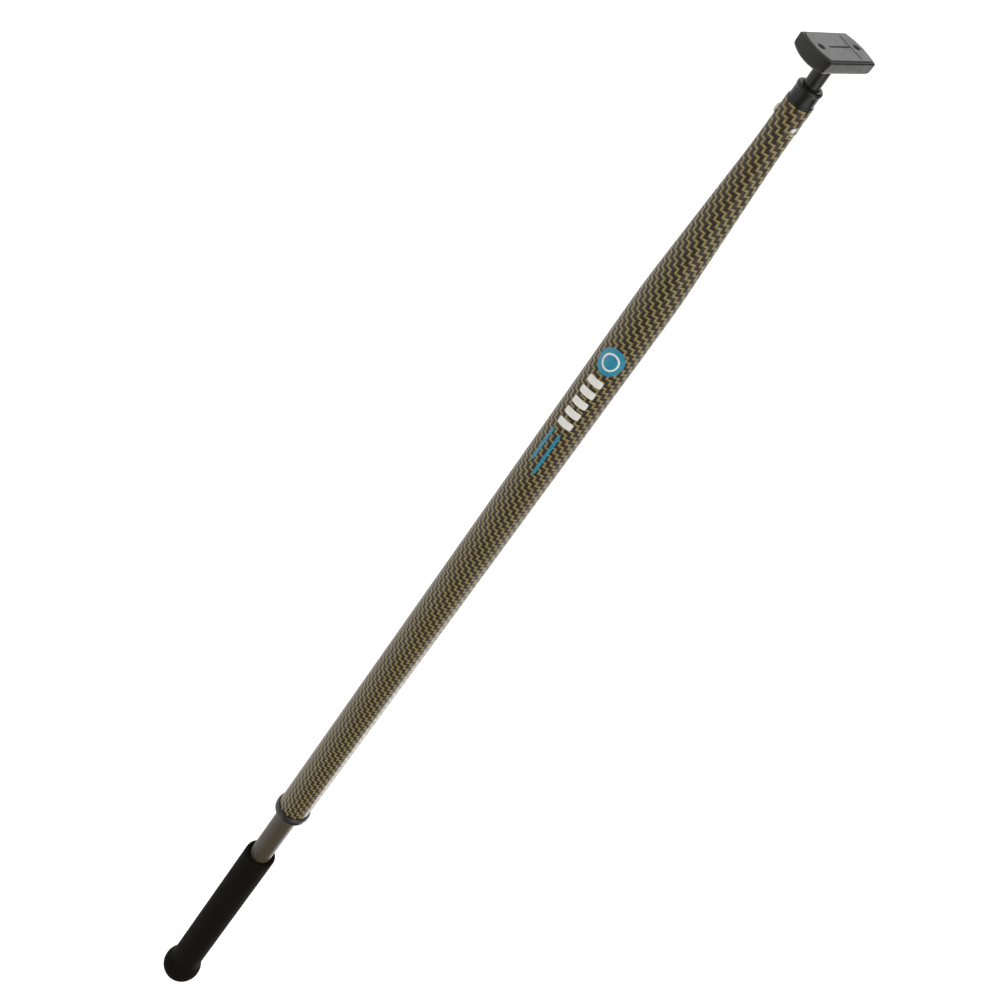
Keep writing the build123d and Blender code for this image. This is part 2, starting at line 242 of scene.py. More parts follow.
@dataclass(frozen=True)
class DrawnMetal:
    """Bare or anodised metal with fine lines, dull specks and a slight change of tone."""

    name: str
    colour: tuple[float, float, float]
    dull_colour: tuple[float, float, float]
    metallic: float
    roughness: float
    drawing: Drawing
    line_depth: float
    ior: float = 1.5

    def material(self) -> bpy.types.Material:
        """Build the metal's node tree.

        Returns:
            The finished material.
        """
        material = new_material(self.name)
        nodes, links = material.node_tree.nodes, material.node_tree.links

        output = nodes.new("ShaderNodeOutputMaterial")
        output.label = "Metal surface"
        shader = nodes.new("ShaderNodeBsdfPrincipled")
        shader.label = "Metal"
        place = nodes.new("ShaderNodeTexCoord")
        place.label = "Place on the piece"
        stretch = nodes.new("ShaderNodeMapping")
        stretch.label = "Pull the lines out"

        line = nodes.new("ShaderNodeTexNoise")
        line.label = "Drawing lines"
        relief = nodes.new("ShaderNodeBump")
        relief.label = "Depth of the lines"
        line_group = nodes.new("NodeFrame")
        line_group.label = "Lines"

        speck = nodes.new("ShaderNodeTexNoise")
        speck.label = "Dull specks and handling marks"
        dulled = nodes.new("ShaderNodeMapRange")
        dulled.label = "Share of dull tone"
        blend = nodes.new("ShaderNodeMix")
        blend.label = "Clean to dull tone"
        tone_group = nodes.new("NodeFrame")
        tone_group.label = "Tone"

        shine = nodes.new("ShaderNodeMapRange")
        shine.label = "Smooth and rough lines"

        for node, group, x, y in (
            (output, None, 900, 0), (shader, None, 600, 0), (place, None, -1100, 0),
            (stretch, None, -850, -200),
            (line, line_group, -600, -350), (relief, line_group, 0, -350),
            (speck, tone_group, -600, 300), (dulled, tone_group, -350, 300),
            (blend, tone_group, -100, 300),
            (shine, None, -100, -50),
        ):
            node.parent = group
            node.location = (x, y)

        along = 12.0 if self.drawing is Drawing.ALONG_POLE else 900.0
        stretch.inputs["Scale"].default_value = (along, 900.0, 900.0)
        line.inputs["Scale"].default_value = 1.6
        line.inputs["Detail"].default_value = 5.0
        line.inputs["Roughness"].default_value = 0.6
        relief.inputs["Strength"].default_value = 0.5
        relief.inputs["Distance"].default_value = self.line_depth
        speck.inputs["Scale"].default_value = 170.0
        speck.inputs["Detail"].default_value = 7.0
        speck.inputs["Roughness"].default_value = 0.7
        dulled.inputs["From Min"].default_value = 0.4
        dulled.inputs["From Max"].default_value = 0.75
        blend.data_type = "RGBA"
        blend.inputs["A"].default_value = (*self.colour, 1.0)
        blend.inputs["B"].default_value = (*self.dull_colour, 1.0)
        shine.inputs["From Min"].default_value = 0.3
        shine.inputs["From Max"].default_value = 0.7
        shine.inputs["To Min"].default_value = self.roughness * 0.85
        shine.inputs["To Max"].default_value = self.roughness * 1.15
        shader.inputs["Metallic"].default_value = self.metallic
        shader.inputs["IOR"].default_value = self.ior

        links.new(place.outputs["Object"], stretch.inputs["Vector"])
        links.new(stretch.outputs["Vector"], line.inputs["Vector"])
        links.new(line.outputs["Fac"], relief.inputs["Height"])
        links.new(relief.outputs["Normal"], shader.inputs["Normal"])
        links.new(line.outputs["Fac"], shine.inputs["Value"])
        links.new(shine.outputs["Result"], shader.inputs["Roughness"])
        links.new(place.outputs["Object"], speck.inputs["Vector"])
        links.new(speck.outputs["Fac"], dulled.inputs["Value"])
        links.new(dulled.outputs["Result"], blend.inputs["Factor"])
        links.new(blend.outputs["Result"], shader.inputs["Base Color"])
        links.new(shader.outputs["BSDF"], output.inputs["Surface"])
        return material


@dataclass(frozen=True)
class PrintedFilm:
    """Printed vinyl film: even colour with a faint mottle and small scratches."""

    name: str
    colour: tuple[float, float, float]
    faded_colour: tuple[float, float, float]

    def material(self) -> bpy.types.Material:
        """Build the film's node tree.

        Returns:
            The finished material.
        """
        material = new_material(self.name)
        nodes, links = material.node_tree.nodes, material.node_tree.links

        output = nodes.new("ShaderNodeOutputMaterial")
        output.label = "Film surface"
        shader = nodes.new("ShaderNodeBsdfPrincipled")
        shader.label = "Printed film"
        place = nodes.new("ShaderNodeTexCoord")
        place.label = "Place on the pole"
        mottle = nodes.new("ShaderNodeTexNoise")
        mottle.label = "Mottle of the ink"
        faded = nodes.new("ShaderNodeMapRange")
        faded.label = "Share of faded ink"
        blend = nodes.new("ShaderNodeMix")
        blend.label = "Fresh to faded ink"
        ink_group = nodes.new("NodeFrame")
        ink_group.label = "Ink"
        scratch = nodes.new("ShaderNodeTexNoise")
        scratch.label = "Hairline scratches"
        shine = nodes.new("ShaderNodeMapRange")
        shine.label = "Scratches cut the gloss"
        relief = nodes.new("ShaderNodeBump")
        relief.label = "Weave telegraphing through the film"
        gloss_group = nodes.new("NodeFrame")
        gloss_group.label = "Gloss"

        for node, group, x, y in (
            (output, None, 900, 0), (shader, None, 600, 0), (place, None, -900, 0),
            (mottle, ink_group, -600, 250), (faded, ink_group, -350, 250), (blend, ink_group, -100, 250),
            (scratch, gloss_group, -600, -150), (shine, gloss_group, -100, -100),
            (relief, gloss_group, 150, -300),
        ):
            node.parent = group
            node.location = (x, y)

        mottle.inputs["Scale"].default_value = 500.0
        mottle.inputs["Detail"].default_value = 5.0
        faded.inputs["From Min"].default_value = 0.45
        faded.inputs["From Max"].default_value = 0.8
        blend.data_type = "RGBA"
        blend.inputs["A"].default_value = (*self.colour, 1.0)
        blend.inputs["B"].default_value = (*self.faded_colour, 1.0)
        scratch.inputs["Scale"].default_value = 900.0
        scratch.inputs["Detail"].default_value = 4.0
        shine.inputs["To Min"].default_value = 0.22
        shine.inputs["To Max"].default_value = 0.42
        relief.inputs["Strength"].default_value = 0.35
        relief.inputs["Distance"].default_value = 0.00004
        shader.inputs["IOR"].default_value = 1.45

        links.new(place.outputs["Object"], mottle.inputs["Vector"])
        links.new(place.outputs["Object"], scratch.inputs["Vector"])
        links.new(mottle.outputs["Fac"], faded.inputs["Value"])
        links.new(faded.outputs["Result"], blend.inputs["Factor"])
        links.new(blend.outputs["Result"], shader.inputs["Base Color"])
        links.new(scratch.outputs["Fac"], shine.inputs["Value"])
        links.new(shine.outputs["Result"], shader.inputs["Roughness"])
        links.new(scratch.outputs["Fac"], relief.inputs["Height"])
        links.new(relief.outputs["Normal"], shader.inputs["Normal"])
        links.new(shader.outputs["BSDF"], output.inputs["Surface"])
        return material


@dataclass(frozen=True)
class WovenLaminate:
    """Gold and black fibre tows in a two-over, two-under twill under clear lacquer.

    The piece carries a UV map named "weave" that counts pairs of tows: U round the pole and
    V along it. Each pair is one narrow gold tow and one wide black tow.
    """

    name: str
    # Each tow colour comes with a darker one, the painted shade for its dips; the lighter one is the
    # painted highlight on its crown.
    gold: tuple[float, float, float]
    gold_painted_shade: tuple[float, float, float]
    black: tuple[float, float, float]
    black_painted_shade: tuple[float, float, float]
    gold_share: float
    tow_relief: float

    def material(self) -> bpy.types.Material:
        """Build the laminate's node tree.

        Returns:
            The finished material.
        """
        material = new_material(self.name)
        nodes, links = material.node_tree.nodes, material.node_tree.links

        output = nodes.new("ShaderNodeOutputMaterial")
        output.label = "Lacquered laminate"
        shader = nodes.new("ShaderNodeBsdfPrincipled")
        shader.label = "Fibre under clear lacquer"
        weave = nodes.new("ShaderNodeUVMap")
        weave.label = "Pairs of tows round and along"
        sides = nodes.new("ShaderNodeSeparateXYZ")
        sides.label = "Round and along"
        place = nodes.new("ShaderNodeTexCoord")
        place.label = "Place on the tube"
        placed = [(output, None, 3000, 0), (shader, None, 2700, 0), (weave, None, -2000, 0),
                  (sides, None, -1800, 0), (place, None, -2000, -900)]

        # Each direction: which pair, which tow of the pair, and how far across that tow.
        links.new(weave.outputs["UV"], sides.inputs["Vector"])
        tow_index = []
        is_black = []
        across = []
        for row, (axis, title) in enumerate((("X", "lengthwise"), ("Y", "hoop"))):
            group = nodes.new("NodeFrame")
            group.label = f"The {title} tows"
            pair = nodes.new("ShaderNodeMath")
            pair.label = f"Pair of {title} tows"
            within = nodes.new("ShaderNodeMath")
            within.label = "Place within the pair"
            black = nodes.new("ShaderNodeMath")
            black.label = "Black tow of the pair"
            index = nodes.new("ShaderNodeMath")
            index.label = f"Number of the {title} tow"
            gold_across = nodes.new("ShaderNodeMapRange")
            gold_across.label = "Across the gold tow"
            black_across = nodes.new("ShaderNodeMapRange")
            black_across.label = "Across the black tow"
            pick = nodes.new("ShaderNodeMix")
            pick.label = "Across this tow"
            row_nodes = (pair, within, black, index, gold_across, black_across, pick)
            for step, node in enumerate(row_nodes):
                placed.append((node, group, -1500 + 180 * step, 500 - 900 * row - 90 * (step % 2)))
            pair.operation = "FLOOR"
            within.operation = "FRACT"
            black.operation = "GREATER_THAN"
            black.inputs[1].default_value = self.gold_share
            index.operation = "MULTIPLY_ADD"
            index.inputs[1].default_value = 2.0
            gold_across.inputs["From Max"].default_value = self.gold_share
            black_across.inputs["From Min"].default_value = self.gold_share
            links.new(sides.outputs[axis], pair.inputs[0])
            links.new(sides.outputs[axis], within.inputs[0])
            links.new(within.outputs["Value"], black.inputs[0])
            links.new(pair.outputs["Value"], index.inputs[0])
            links.new(black.outputs["Value"], index.inputs[2])
            links.new(within.outputs["Value"], gold_across.inputs["Value"])
            links.new(within.outputs["Value"], black_across.inputs["Value"])
            links.new(black.outputs["Value"], pick.inputs["Factor"])
            links.new(gold_across.outputs["Result"], pick.inputs["A"])
            links.new(black_across.outputs["Result"], pick.inputs["B"])
            tow_index.append(index)
            is_black.append(black)
            across.append(pick)

        twill_group = nodes.new("NodeFrame")
        twill_group.label = "Two over, two under"
        shift = nodes.new("ShaderNodeMath")
        shift.label = "Step of the twill line"
        step_of_four = nodes.new("ShaderNodeMath")
        step_of_four.label = "Place in the repeat of four"
        lengthwise_up = nodes.new("ShaderNodeMath")
        lengthwise_up.label = "Lengthwise tow on top"
        colour_pick = nodes.new("ShaderNodeMix")
        colour_pick.label = "Colour of the tow on top"
        across_pick = nodes.new("ShaderNodeMix")
        across_pick.label = "Across the tow on top"
        hoop_float = nodes.new("ShaderNodeMath")
        hoop_float.label = "Half of the hoop float"
        hoop_run = nodes.new("ShaderNodeMath")
        hoop_run.label = "Run along the hoop float"
        long_run = nodes.new("ShaderNodeMath")
        long_run.label = "Run along the lengthwise float"
        run_pick = nodes.new("ShaderNodeMix")
        run_pick.label = "Doubled run along the float on top"
        for step, node in enumerate((shift, step_of_four, lengthwise_up, colour_pick, across_pick)):
            placed.append((node, twill_group, -150 + 180 * step, 250 - 60 * (step % 2)))
        for step, node in enumerate((hoop_float, hoop_run, long_run, run_pick)):
            placed.append((node, twill_group, -150 + 180 * step, -50 - 60 * (step % 2)))
        shift.operation = "ADD"
        step_of_four.operation = "FLOORED_MODULO"
        step_of_four.inputs[1].default_value = 4.0
        lengthwise_up.operation = "LESS_THAN"
        lengthwise_up.inputs[1].default_value = 1.5
        hoop_float.operation = "SUBTRACT"
        hoop_float.inputs[1].default_value = 2.0
        hoop_run.operation = "ADD"
        long_run.operation = "ADD"
        links.new(tow_index[0].outputs["Value"], shift.inputs[0])
        links.new(tow_index[1].outputs["Value"], shift.inputs[1])
        links.new(shift.outputs["Value"], step_of_four.inputs[0])
        links.new(step_of_four.outputs["Value"], lengthwise_up.inputs[0])
        links.new(lengthwise_up.outputs["Value"], colour_pick.inputs["Factor"])
        links.new(is_black[1].outputs["Value"], colour_pick.inputs["A"])
        links.new(is_black[0].outputs["Value"], colour_pick.inputs["B"])
        links.new(lengthwise_up.outputs["Value"], across_pick.inputs["Factor"])
        links.new(across[1].outputs["Result"], across_pick.inputs["A"])
        links.new(across[0].outputs["Result"], across_pick.inputs["B"])
        links.new(step_of_four.outputs["Value"], hoop_float.inputs[0])
        links.new(hoop_float.outputs["Value"], hoop_run.inputs[0])
        links.new(across[0].outputs["Result"], hoop_run.inputs[1])
        links.new(step_of_four.outputs["Value"], long_run.inputs[0])
        links.new(across[1].outputs["Result"], long_run.inputs[1])
        links.new(lengthwise_up.outputs["Value"], run_pick.inputs["Factor"])
        links.new(hoop_run.outputs["Value"], run_pick.inputs["A"])
        links.new(long_run.outputs["Value"], run_pick.inputs["B"])

        # The crown of each tow and the dip where it dives under its neighbour.
        relief_group = nodes.new("NodeFrame")
        relief_group.label = "Rounded tows"
        crown = nodes.new("ShaderNodeFloatCurve")
        crown.label = "Crown across the tow"
        half_run = nodes.new("ShaderNodeMath")
        half_run.label = "Run from nought to one"
        dive = nodes.new("ShaderNodeFloatCurve")
        dive.label = "Dive at both ends of the float"
        height = nodes.new("ShaderNodeMath")
        height.label = "Height of the fibre"
        for step, node in enumerate((crown, half_run, dive, height)):
            placed.append((node, relief_group, 900 + 200 * step, -50 - 120 * (step % 2)))
        for curve_node in (crown, dive):
            line = curve_node.mapping.curves[0]
            line.points[0].location = (0.0, 0.0)
            line.points[1].location = (1.0, 0.0)
            line.points.new(0.2, 0.72)
            line.points.new(0.5, 1.0)
            line.points.new(0.8, 0.72)
            curve_node.mapping.update()
        half_run.operation = "MULTIPLY"
        half_run.inputs[1].default_value = 0.5
        height.operation = "MULTIPLY"
        links.new(across_pick.outputs["Result"], crown.inputs["Value"])
        links.new(run_pick.outputs["Result"], half_run.inputs[0])
        links.new(half_run.outputs["Value"], dive.inputs["Value"])
        links.new(crown.outputs["Value"], height.inputs[0])
        links.new(dive.outputs["Value"], height.inputs[1])

        # Filaments: noise drawn out along whichever tow is on top.
        fibre_group = nodes.new("NodeFrame")
        fibre_group.label = "Filaments"
        long_stretch = nodes.new("ShaderNodeMapping")
        long_stretch.label = "Filaments along the pole"
        hoop_stretch = nodes.new("ShaderNodeMapping")
        hoop_stretch.label = "Filaments round the pole"
        turn = nodes.new("ShaderNodeMix")
        turn.label = "Follow the tow on top"
        filament = nodes.new("ShaderNodeTexNoise")
        filament.label = "Single filaments"
        patch = nodes.new("ShaderNodeTexNoise")
        patch.label = "Uneven resin from place to place"
        for step, node in enumerate((long_stretch, hoop_stretch, turn, filament, patch)):
            placed.append((node, fibre_group, 700 + 200 * step, -500 - 150 * (step % 2)))
        turn.data_type = "VECTOR"
        long_stretch.inputs["Scale"].default_value = (22.0, 0.7, 1.0)
        hoop_stretch.inputs["Scale"].default_value = (0.7, 22.0, 1.0)
        filament.inputs["Scale"].default_value = 1.6
        filament.inputs["Detail"].default_value = 3.0
        filament.inputs["Roughness"].default_value = 0.6
        patch.inputs["Scale"].default_value = 38.0
        patch.inputs["Detail"].default_value = 3.0
        links.new(weave.outputs["UV"], long_stretch.inputs["Vector"])
        links.new(weave.outputs["UV"], hoop_stretch.inputs["Vector"])
        links.new(lengthwise_up.outputs["Value"], turn.inputs["Factor"])
        links.new(hoop_stretch.outputs["Vector"], turn.inputs["A"])
        links.new(long_stretch.outputs["Vector"], turn.inputs["B"])
        links.new(turn.outputs["Result"], filament.inputs["Vector"])
        links.new(place.outputs["Object"], patch.inputs["Vector"])

        # Colour: painted shade in the dips and painted highlight on the crowns, then the real filament
        # streaks, then the slow change of resin.
        colour_group = nodes.new("NodeFrame")
        colour_group.label = "Fibre colours"
        # Tow height sets painted highlight on the crowns and painted shade in the dips; the filament noise
        # adds real streaks.
        light = nodes.new("ShaderNodeMath")
        light.label = "Painted highlight on crowns, broken by filaments"
        painted_light_range = nodes.new("ShaderNodeMapRange")
        painted_light_range.label = "Painted shade to painted highlight"
        gold_tone = nodes.new("ShaderNodeMix")
        gold_tone.label = "Gold aramid tow"
        black_tone = nodes.new("ShaderNodeMix")
        black_tone.label = "Black carbon tow"
        fibre_tone = nodes.new("ShaderNodeMix")
        fibre_tone.label = "Gold or black"
        resin_tone = nodes.new("ShaderNodeMapRange")
        resin_tone.label = "Clear to amber resin"
        amber = nodes.new("ShaderNodeMix")
        amber.label = "Resin tint over the fibre"
        colour_nodes = (light, painted_light_range, gold_tone, black_tone, fibre_tone, resin_tone, amber)
        for step, node in enumerate(colour_nodes):
            placed.append((node, colour_group, 1500 + 170 * (step // 2), 350 - 230 * (step % 2)))
        light.operation = "MULTIPLY_ADD"
        painted_light_range.inputs["From Min"].default_value = 0.35
        painted_light_range.inputs["From Max"].default_value = 1.15
        resin_tone.inputs["From Min"].default_value = 0.4
        resin_tone.inputs["From Max"].default_value = 0.7
        resin_tone.inputs["To Max"].default_value = 0.22
        for mix, low, high in (
            (gold_tone, self.gold_painted_shade, self.gold),
            (black_tone, self.black_painted_shade, self.black),
        ):
            mix.data_type = "RGBA"
            mix.inputs["A"].default_value = (*low, 1.0)
            mix.inputs["B"].default_value = (*high, 1.0)
        fibre_tone.data_type = "RGBA"
        amber.data_type = "RGBA"
        amber.blend_type = "MULTIPLY"
        amber.inputs["B"].default_value = (0.82, 0.66, 0.42, 1.0)
        light.inputs[1].default_value = 0.6
        links.new(height.outputs["Value"], light.inputs[0])
        links.new(filament.outputs["Fac"], light.inputs[2])
        links.new(light.outputs["Value"], painted_light_range.inputs["Value"])
        links.new(painted_light_range.outputs["Result"], gold_tone.inputs["Factor"])
        links.new(painted_light_range.outputs["Result"], black_tone.inputs["Factor"])
        links.new(colour_pick.outputs["Result"], fibre_tone.inputs["Factor"])
        links.new(gold_tone.outputs["Result"], fibre_tone.inputs["A"])
        links.new(black_tone.outputs["Result"], fibre_tone.inputs["B"])
        links.new(patch.outputs["Fac"], resin_tone.inputs["Value"])
        links.new(resin_tone.outputs["Result"], amber.inputs["Factor"])
        links.new(fibre_tone.outputs["Result"], amber.inputs["A"])
        links.new(amber.outputs["Result"], shader.inputs["Base Color"])

        # Fibre relief below the lacquer, and the lacquer's own faint waves.
        surface_group = nodes.new("NodeFrame")
        surface_group.label = "Relief and lacquer"
        fibre_relief = nodes.new("ShaderNodeBump")
        fibre_relief.label = "Tows felt through the resin"
        fibre_shine = nodes.new("ShaderNodeMapRange")
        fibre_shine.label = "Fibre shine by filament"
        wave = nodes.new("ShaderNodeTexNoise")
        wave.label = "Slow waves in the lacquer"
        lacquer_relief = nodes.new("ShaderNodeBump")
        lacquer_relief.label = "Lacquer not quite flat"
        for step, node in enumerate((fibre_relief, fibre_shine, wave, lacquer_relief)):
            placed.append((node, surface_group, 2150 + 180 * (step % 2), -300 - 220 * (step // 2)))
        fibre_relief.inputs["Strength"].default_value = 0.8
        fibre_relief.inputs["Distance"].default_value = self.tow_relief
        fibre_shine.inputs["To Min"].default_value = 0.34
        fibre_shine.inputs["To Max"].default_value = 0.58
        wave.inputs["Scale"].default_value = 260.0
        wave.inputs["Detail"].default_value = 2.0
        lacquer_relief.inputs["Strength"].default_value = 0.25
        lacquer_relief.inputs["Distance"].default_value = 0.00012
        shader.inputs["IOR"].default_value = 1.33
        shader.inputs["Coat Weight"].default_value = 0.2
        shader.inputs["Coat Roughness"].default_value = 0.06
        shader.inputs["Coat IOR"].default_value = 1.42
        links.new(height.outputs["Value"], fibre_relief.inputs["Height"])
        links.new(fibre_relief.outputs["Normal"], shader.inputs["Normal"])
        links.new(filament.outputs["Fac"], fibre_shine.inputs["Value"])
        links.new(fibre_shine.outputs["Result"], shader.inputs["Roughness"])
        links.new(place.outputs["Object"], wave.inputs["Vector"])
        links.new(wave.outputs["Fac"], lacquer_relief.inputs["Height"])
        links.new(lacquer_relief.outputs["Normal"], shader.inputs["Coat Normal"])
        links.new(shader.outputs["BSDF"], output.inputs["Surface"])

        for node, group, x, y in placed:
            node.parent = group
            node.location = (x, y)
        weave.uv_map = "weave"
        return material


# ---------------------------------------------------------------------------------------------
# Mesh helpers
# ---------------------------------------------------------------------------------------------


def link_object(name: str, mesh: bpy.types.Mesh, material: bpy.types.Material) -> bpy.types.Object:
    """Put a finished mesh in the scene under one material.

    Args:
        name: The piece's name.
        mesh: The finished mesh, in its place.
        material: The finish of the whole piece.

    Returns:
        The new object, at the origin.
    """
    mesh.materials.clear()
    mesh.materials.append(material)
    piece = bpy.data.objects.new(name, mesh)
    bpy.context.scene.collection.objects.link(piece)
    return piece


def rounded(points: list[tuple[float, float, float]], steps: int = 6) -> Profile:
    """Round the corners of a half profile.

    Args:
        points: (x, radius, corner radius) of each corner, in order.
        steps: Pieces in each rounded corner.

    Returns:
        The profile as (x, radius) points.
    """
    line: Profile = []
    last = len(points) - 1
    for number, (x, r, corner) in enumerate(points):
        if corner <= 0 or number in (0, last):
            line.append((x, r))
            continue
        here = Vector((x, r))
        back = Vector(points[number - 1][:2]) - here
        ahead = Vector(points[number + 1][:2]) - here
        half = back.angle(ahead) / 2
        reach = min(corner / math.tan(half), back.length * 0.49, ahead.length * 0.49)
        start = here + back.normalized() * reach
        end = here + ahead.normalized() * reach
        for step in range(steps + 1):
            share = step / steps
            bend = start.lerp(here, share).lerp(here.lerp(end, share), share)
            line.append((bend.x, bend.y))
    return line


def arc_points(
    centre: tuple[float, float], radius: float, start: float, end: float, steps: int
) -> list[tuple[float, float, float]]:
    """Points on an arc, as unrounded corners for rounded().

    Args:
        centre: (x, radius) of the arc's centre.
        radius: The arc's radius.
        start: Angle of the first point, in degrees from +X.
        end: Angle of the last point.
        steps: Number of pieces.

    Returns:
        (x, radius, 0) for each point.
    """
    points = []
    for step in range(steps + 1):
        angle = math.radians(start + (end - start) * step / steps)
        points.append((centre[0] + radius * math.cos(angle), centre[1] + radius * math.sin(angle), 0.0))
    return points


def turned_mesh(name: str, profile: Profile, segments: int = 128, closed: bool = True) -> bpy.types.Mesh:
    """Turn a half profile about the pole's axis.

    Args:
        name: The mesh's name.
        profile: (x, radius) points; a radius of nought is a pole on the axis.
        segments: Number of faces round.
        closed: Whether the last point joins the first.

    Returns:
        A smooth-shaded mesh with outward faces.
    """
    shape = bmesh.new()
    rings = []
    for x, r in profile:
        if r < WELD_DISTANCE:
            rings.append([shape.verts.new((x, 0.0, 0.0))])
            continue
        ring = []
        for step in range(segments):
            angle = 2 * math.pi * step / segments
            ring.append(shape.verts.new((x, r * math.cos(angle), r * math.sin(angle))))
        rings.append(ring)
    pairs = list(zip(rings, rings[1:]))
    if closed:
        pairs.append((rings[-1], rings[0]))
    for low, high in pairs:
        if len(low) == 1 and len(high) == 1:
            continue
        for step in range(segments):
            after = (step + 1) % segments
            corners = (
                low[step % len(low)], low[after % len(low)],
                high[after % len(high)], high[step % len(high)],
            )
            shape.faces.new(list(dict.fromkeys(corners)))
    finish_shape(shape)
    return as_mesh(shape, name)


def as_mesh(shape: bmesh.types.BMesh, name: str) -> bpy.types.Mesh:
    """Keep a built shape as a mesh and let go of the shape.

    Args:
        shape: The shape, which can't be used after this.
        name: The mesh's name.

    Returns:
        The new mesh.
    """
    mesh = bpy.data.meshes.new(name)
    shape.to_mesh(mesh)
    shape.free()
    return mesh


def finish_shape(shape: bmesh.types.BMesh, crease: float = math.radians(38)) -> None:
    """Turn faces outward, shade them smooth and keep true corners sharp.

    Args:
        shape: The shape to finish in place.
        crease: Angle between two faces above which their edge stays sharp.
    """
    bmesh.ops.remove_doubles(shape, verts=shape.verts, dist=WELD_DISTANCE)
    bmesh.ops.recalc_face_normals(shape, faces=shape.faces)
    for face in shape.faces:
        face.smooth = True
    for edge in shape.edges:
        edge.smooth = not (edge.is_manifold and edge.calc_face_angle(0.0) > crease)


def softened_copy(node: str, name: str, voxel: float, passes: int) -> bpy.types.Mesh:
    """Copy a CAD node's shape and soften its edges as a mould does.

    Args:
        node: The CAD node's name.
        name: The new mesh's name.
        voxel: Size of the remeshed faces.
        passes: Number of smoothing passes.

    Returns:
        The softened mesh.
    """
    shape = bmesh.new()
    shape.from_mesh(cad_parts[node].data)
    bmesh.ops.remove_doubles(shape, verts=shape.verts, dist=WELD_DISTANCE)
    raw = as_mesh(shape, name + "_raw")
    holder = bpy.data.objects.new(name + "_holder", raw)
    bpy.context.scene.collection.objects.link(holder)
    remesh = holder.modifiers.new("even faces", "REMESH")
    remesh.mode = "VOXEL"
    remesh.voxel_size = voxel
    soften = holder.modifiers.new("soft edges", "SMOOTH")
    soften.factor = 0.5
    soften.iterations = passes
    bpy.context.view_layer.update()
    graph = bpy.context.evaluated_depsgraph_get()
    mesh = bpy.data.meshes.new_from_object(holder.evaluated_get(graph))
    mesh.name = name
    mesh.shade_smooth()
    bpy.data.objects.remove(holder)
    bpy.data.meshes.remove(raw)
    return mesh


def node_output(
    name: str, mesh: bpy.types.Mesh, tree: bpy.types.NodeTree, values: dict[str, object]
) -> bpy.types.Mesh:
    """Run a Geometry Nodes tree on a mesh and keep the result as a plain mesh.

    Args:
        name: Name of the result.
        mesh: The mesh that the tree starts from.
        tree: The node tree.
        values: Value of each named input.

    Returns:
        The evaluated mesh.
    """
    holder = bpy.data.objects.new(name + "_holder", mesh)
    bpy.context.scene.collection.objects.link(holder)
    modifier = holder.modifiers.new(tree.name, "NODES")
    modifier.node_group = tree
    for item in tree.interface.items_tree:
        if item.item_type == "SOCKET" and item.in_out == "INPUT" and item.name in values:
            modifier[item.identifier] = values[item.name]
    holder.update_tag()
    bpy.context.view_layer.update()
    graph = bpy.context.evaluated_depsgraph_get()
    result = bpy.data.meshes.new_from_object(holder.evaluated_get(graph))
    result.name = name
    bpy.data.objects.remove(holder)
    return result


# ---------------------------------------------------------------------------------------------
# Geometry Nodes trees
# ---------------------------------------------------------------------------------------------


def new_tree(name: str, inputs: list[tuple[str, str]]) -> bpy.types.NodeTree:
    """Start a Geometry Nodes tree with its named inputs.

    Args:
        name: The tree's name.
        inputs: (name, socket type) of each input after the geometry.

    Returns:
        The new tree, with geometry in and out.
    """
    tree = bpy.data.node_groups.new(name, "GeometryNodeTree")
    tree.interface.new_socket("Geometry", in_out="INPUT", socket_type="NodeSocketGeometry")
    for title, kind in inputs:
        tree.interface.new_socket(title, in_out="INPUT", socket_type=kind)
    tree.interface.new_socket("Geometry", in_out="OUTPUT", socket_type="NodeSocketGeometry")
    return tree


def point_round_pole(
    tree: bpy.types.NodeTree, along: bpy.types.NodeSocket, angle: bpy.types.NodeSocket,
    radius: bpy.types.NodeSocket,
) -> bpy.types.NodeSocket:
    """Add the nodes that turn a place along and round the pole into a point.

    Args:
        tree: The tree to add to.
        along: Distance along the pole.
        angle: Angle round the pole, about +X from +Y.
        radius: Distance from the pole's axis.

    Returns:
        The point, as a vector.
    """
    nodes, links = tree.nodes, tree.links
    cosine = nodes.new("ShaderNodeMath")
    cosine.label = "Share to the side"
    sine = nodes.new("ShaderNodeMath")
    sine.label = "Share upward"
    side = nodes.new("ShaderNodeMath")
    side.label = "Place to the side"
    up = nodes.new("ShaderNodeMath")
    up.label = "Place upward"
    point = nodes.new("ShaderNodeCombineXYZ")
    point.label = "Point on the pole"
    cosine.operation = "COSINE"
    sine.operation = "SINE"
    side.operation = "MULTIPLY"
    up.operation = "MULTIPLY"
    links.new(angle, cosine.inputs[0])
    links.new(angle, sine.inputs[0])
    links.new(cosine.outputs["Value"], side.inputs[0])
    links.new(radius, side.inputs[1])
    links.new(sine.outputs["Value"], up.inputs[0])
    links.new(radius, up.inputs[1])
    links.new(along, point.inputs["X"])
    links.new(side.outputs["Value"], point.inputs["Y"])
    links.new(up.outputs["Value"], point.inputs["Z"])
    return point.outputs["Vector"]


